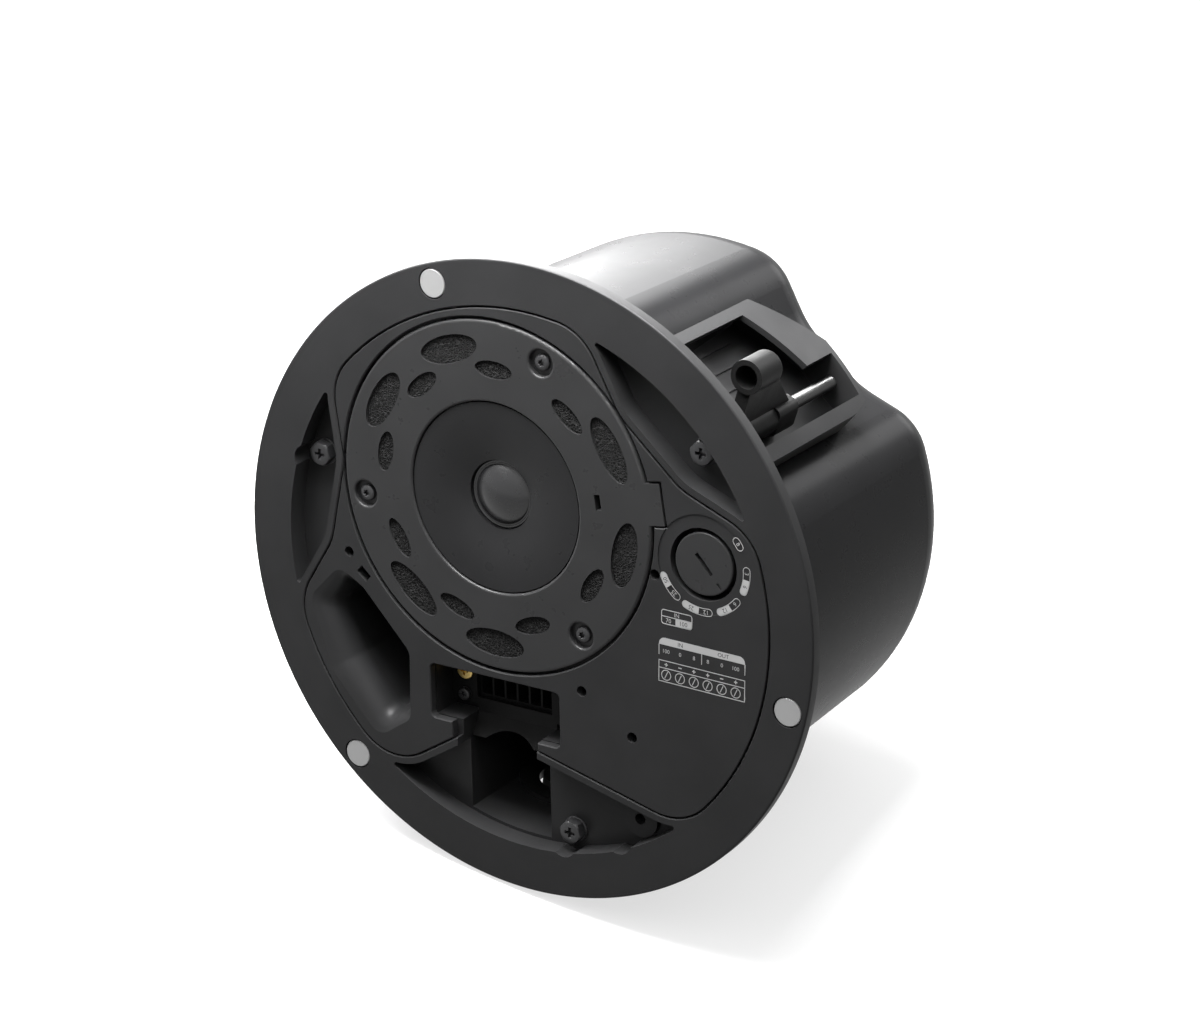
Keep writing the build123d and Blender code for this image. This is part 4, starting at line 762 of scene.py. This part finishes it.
def input_marks():
    """Box with two fields, the second filled."""
    pale = outline_strokes(rounded_box(BOX_LEFT, BOX_TOP, BOX_RIGHT, BOX_END, (BOX_ROUND,) * 4))
    pale.append(print_line(BOX_LEFT, BOX_MIDDLE, BOX_RIGHT, BOX_MIDDLE))
    filled = rounded_box(BOX_SPLIT, BOX_MIDDLE, BOX_RIGHT, BOX_END, (SQUARE, SQUARE, BOX_ROUND, SQUARE))
    pale.append(slab(filled))
    field = (BOX_MIDDLE + BOX_END) / 2
    pale.append(print_letters("IN", (BOX_LEFT + BOX_RIGHT) / 2, (BOX_TOP + BOX_MIDDLE) / 2, WAY_TEXT))
    pale.append(print_letters("70", (BOX_LEFT + BOX_SPLIT) / 2, field, BOX_TEXT))
    dark = [print_letters("100", (BOX_SPLIT + BOX_RIGHT) / 2, field, BOX_TEXT, INK_OVER)]
    return pale, dark


ink, cut_out = [], []
for pale_marks, dark_marks in (tap_marks(), table_marks(), input_marks()):
    ink += pale_marks
    cut_out += dark_marks
for piece_name, shells, finish in (("baffle_print", ink, print_ink), ("baffle_numbers", cut_out, moulded)):
    printed = add_object(piece_name, join_parts(piece_name, shells), finish)
    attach(printed, "speaker_body")


# Floor, light, camera

FLOOR_COLOR = (0.34, 0.34, 0.34)
FLOOR_BOUNCE = (0.05, 0.05, 0.05)
FLOOR_GLOW = 0.68
HALF_FLOOR = 4.0
AMBIENT = 0.02
LIT_POINT = Vector((0.0, 0.0, 0.05))


def floor_normal():
    """Normal of the surface that the speaker leans on in the reference view."""
    rise = math.radians(CAMERA_RISE)
    return (CAMERA_UP * math.cos(rise) - CAMERA_FORWARD * math.sin(rise)).normalized()


def floor_material():
    """Pale floor that keeps the shadow and isn't seen from behind."""
    material = bpy.data.materials.new("floor_pale")
    material.use_nodes = True
    tree = material.node_tree
    tree.nodes.clear()
    out = tree.nodes.new("ShaderNodeOutputMaterial")
    diffuse = tree.nodes.new("ShaderNodeBsdfDiffuse")
    glow = tree.nodes.new("ShaderNodeEmission")
    path = tree.nodes.new("ShaderNodeLightPath")
    paint = blend_colors(tree, path.outputs["Is Camera Ray"], FLOOR_BOUNCE, FLOOR_COLOR)
    tree.links.new(paint, diffuse.inputs["Color"])
    seen = math_node(tree, "MAXIMUM", path.outputs["Is Camera Ray"], path.outputs["Is Glossy Ray"])
    tree.links.new(math_node(tree, "MULTIPLY", seen, FLOOR_GLOW), glow.inputs["Strength"])
    both = tree.nodes.new("ShaderNodeAddShader")
    tree.links.new(diffuse.outputs[0], both.inputs[0])
    tree.links.new(glow.outputs[0], both.inputs[1])
    clear = tree.nodes.new("ShaderNodeBsdfTransparent")
    side = tree.nodes.new("ShaderNodeNewGeometry")
    choose = tree.nodes.new("ShaderNodeMixShader")
    tree.links.new(side.outputs["Backfacing"], choose.inputs[0])
    tree.links.new(both.outputs[0], choose.inputs[1])
    tree.links.new(clear.outputs[0], choose.inputs[2])
    tree.links.new(choose.outputs[0], out.inputs["Surface"])
    return material


def lowest(normal):
    """How far the object reaches against a direction."""
    return min(normal.dot(v.co) for n in nodes.values() for v in n.data.vertices)


normal = floor_normal()
base_point = normal * lowest(normal)
depth_dir = normal.cross(CAMERA_RIGHT).normalized()
side_dir = depth_dir.cross(normal).normalized()
corners = [base_point + side_dir * across * HALF_FLOOR + depth_dir * along * HALF_FLOOR
           for across, along in ((-1, -1), (1, -1), (1, 1), (-1, 1))]
floor_mesh = bpy.data.meshes.new("floor")
floor_mesh.from_pydata(corners, [], [(0, 1, 2, 3)])
floor_mesh.update()
if floor_mesh.polygons[0].normal.dot(normal) < 0:
    floor_mesh.flip_normals()
floor = add_object("floor", floor_mesh, floor_material())


def area_lamp(name, direction, distance, width, height, power, diffuse=True, glossy=True):
    """Soft box that faces the speaker."""
    data = bpy.data.lights.new(name, "AREA")
    data.shape = "RECTANGLE"
    data.size, data.size_y = width, height
    data.energy = power
    lamp = bpy.data.objects.new(name, data)
    bpy.context.scene.collection.objects.link(lamp)
    lamp.location = LIT_POINT + direction.normalized() * distance
    lamp.rotation_mode = "QUATERNION"
    lamp.rotation_quaternion = (-direction.normalized()).to_track_quat("-Z", "Y")
    lamp.visible_diffuse = diffuse
    lamp.visible_glossy = glossy
    lamp.visible_camera = False


back = -CAMERA_FORWARD
area_lamp("sky_box", normal + back * 0.1, 1.5, 2.6, 2.6, 42, glossy=False)
area_lamp("near_box", CAMERA_UP + back * 0.42 - CAMERA_RIGHT * 0.3, 0.33, 0.42, 0.28, 12, glossy=False)
area_lamp("key_box", CAMERA_UP + back * 0.42 - CAMERA_RIGHT * 0.25, 0.40, 0.4, 0.25, 13, diffuse=False)
area_lamp("top_box", CAMERA_UP - back * 0.6 - CAMERA_RIGHT * 0.1, 1.0, 0.9, 0.7, 20, diffuse=False)
area_lamp("side_box", CAMERA_UP * 0.7 - back * 0.5 + CAMERA_RIGHT * 0.8, 1.0, 0.3, 0.5, 2, diffuse=False)
area_lamp("rear_box", CAMERA_UP * 0.5 - back - CAMERA_RIGHT * 0.6, 1.3, 1.2, 1.2, 30)
area_lamp("front_box", back + CAMERA_UP * 0.3 - CAMERA_RIGHT * 0.2, 1.8, 1.0, 1.0, 0.5)

world = bpy.data.worlds.new("studio")
bpy.context.scene.world = world
world.use_nodes = True
sky = world.node_tree
sky.nodes.clear()
world_out = sky.nodes.new("ShaderNodeOutputWorld")
paths = sky.nodes.new("ShaderNodeLightPath")
straight = math_node(sky, "MAXIMUM", paths.outputs["Is Camera Ray"], paths.outputs["Is Transmission Ray"])
world_mix = sky.nodes.new("ShaderNodeMixShader")
sky.links.new(math_node(sky, "MAXIMUM", straight, paths.outputs["Is Glossy Ray"]), world_mix.inputs[0])
for index, strength in ((1, AMBIENT), (2, 1.0)):
    background = sky.nodes.new("ShaderNodeBackground")
    background.inputs["Color"].default_value = (1, 1, 1, 1)
    background.inputs["Strength"].default_value = strength
    sky.links.new(background.outputs[0], world_mix.inputs[index])
sky.links.new(world_mix.outputs[0], world_out.inputs["Surface"])

camera_data = bpy.data.cameras.new("camera")
camera_data.lens = CAMERA_LENS
camera_data.sensor_width = CAMERA_SENSOR
camera_data.clip_start = 0.05
camera_data.clip_end = 50.0
camera = bpy.data.objects.new("camera", camera_data)
bpy.context.scene.collection.objects.link(camera)
turn_matrix = Matrix((CAMERA_RIGHT, CAMERA_UP, -CAMERA_FORWARD)).transposed()
camera.matrix_world = Matrix.Translation(CAMERA_PLACE) @ turn_matrix.to_4x4()
bpy.context.scene.camera = camera
bpy.context.scene.view_settings.view_transform = "Standard"
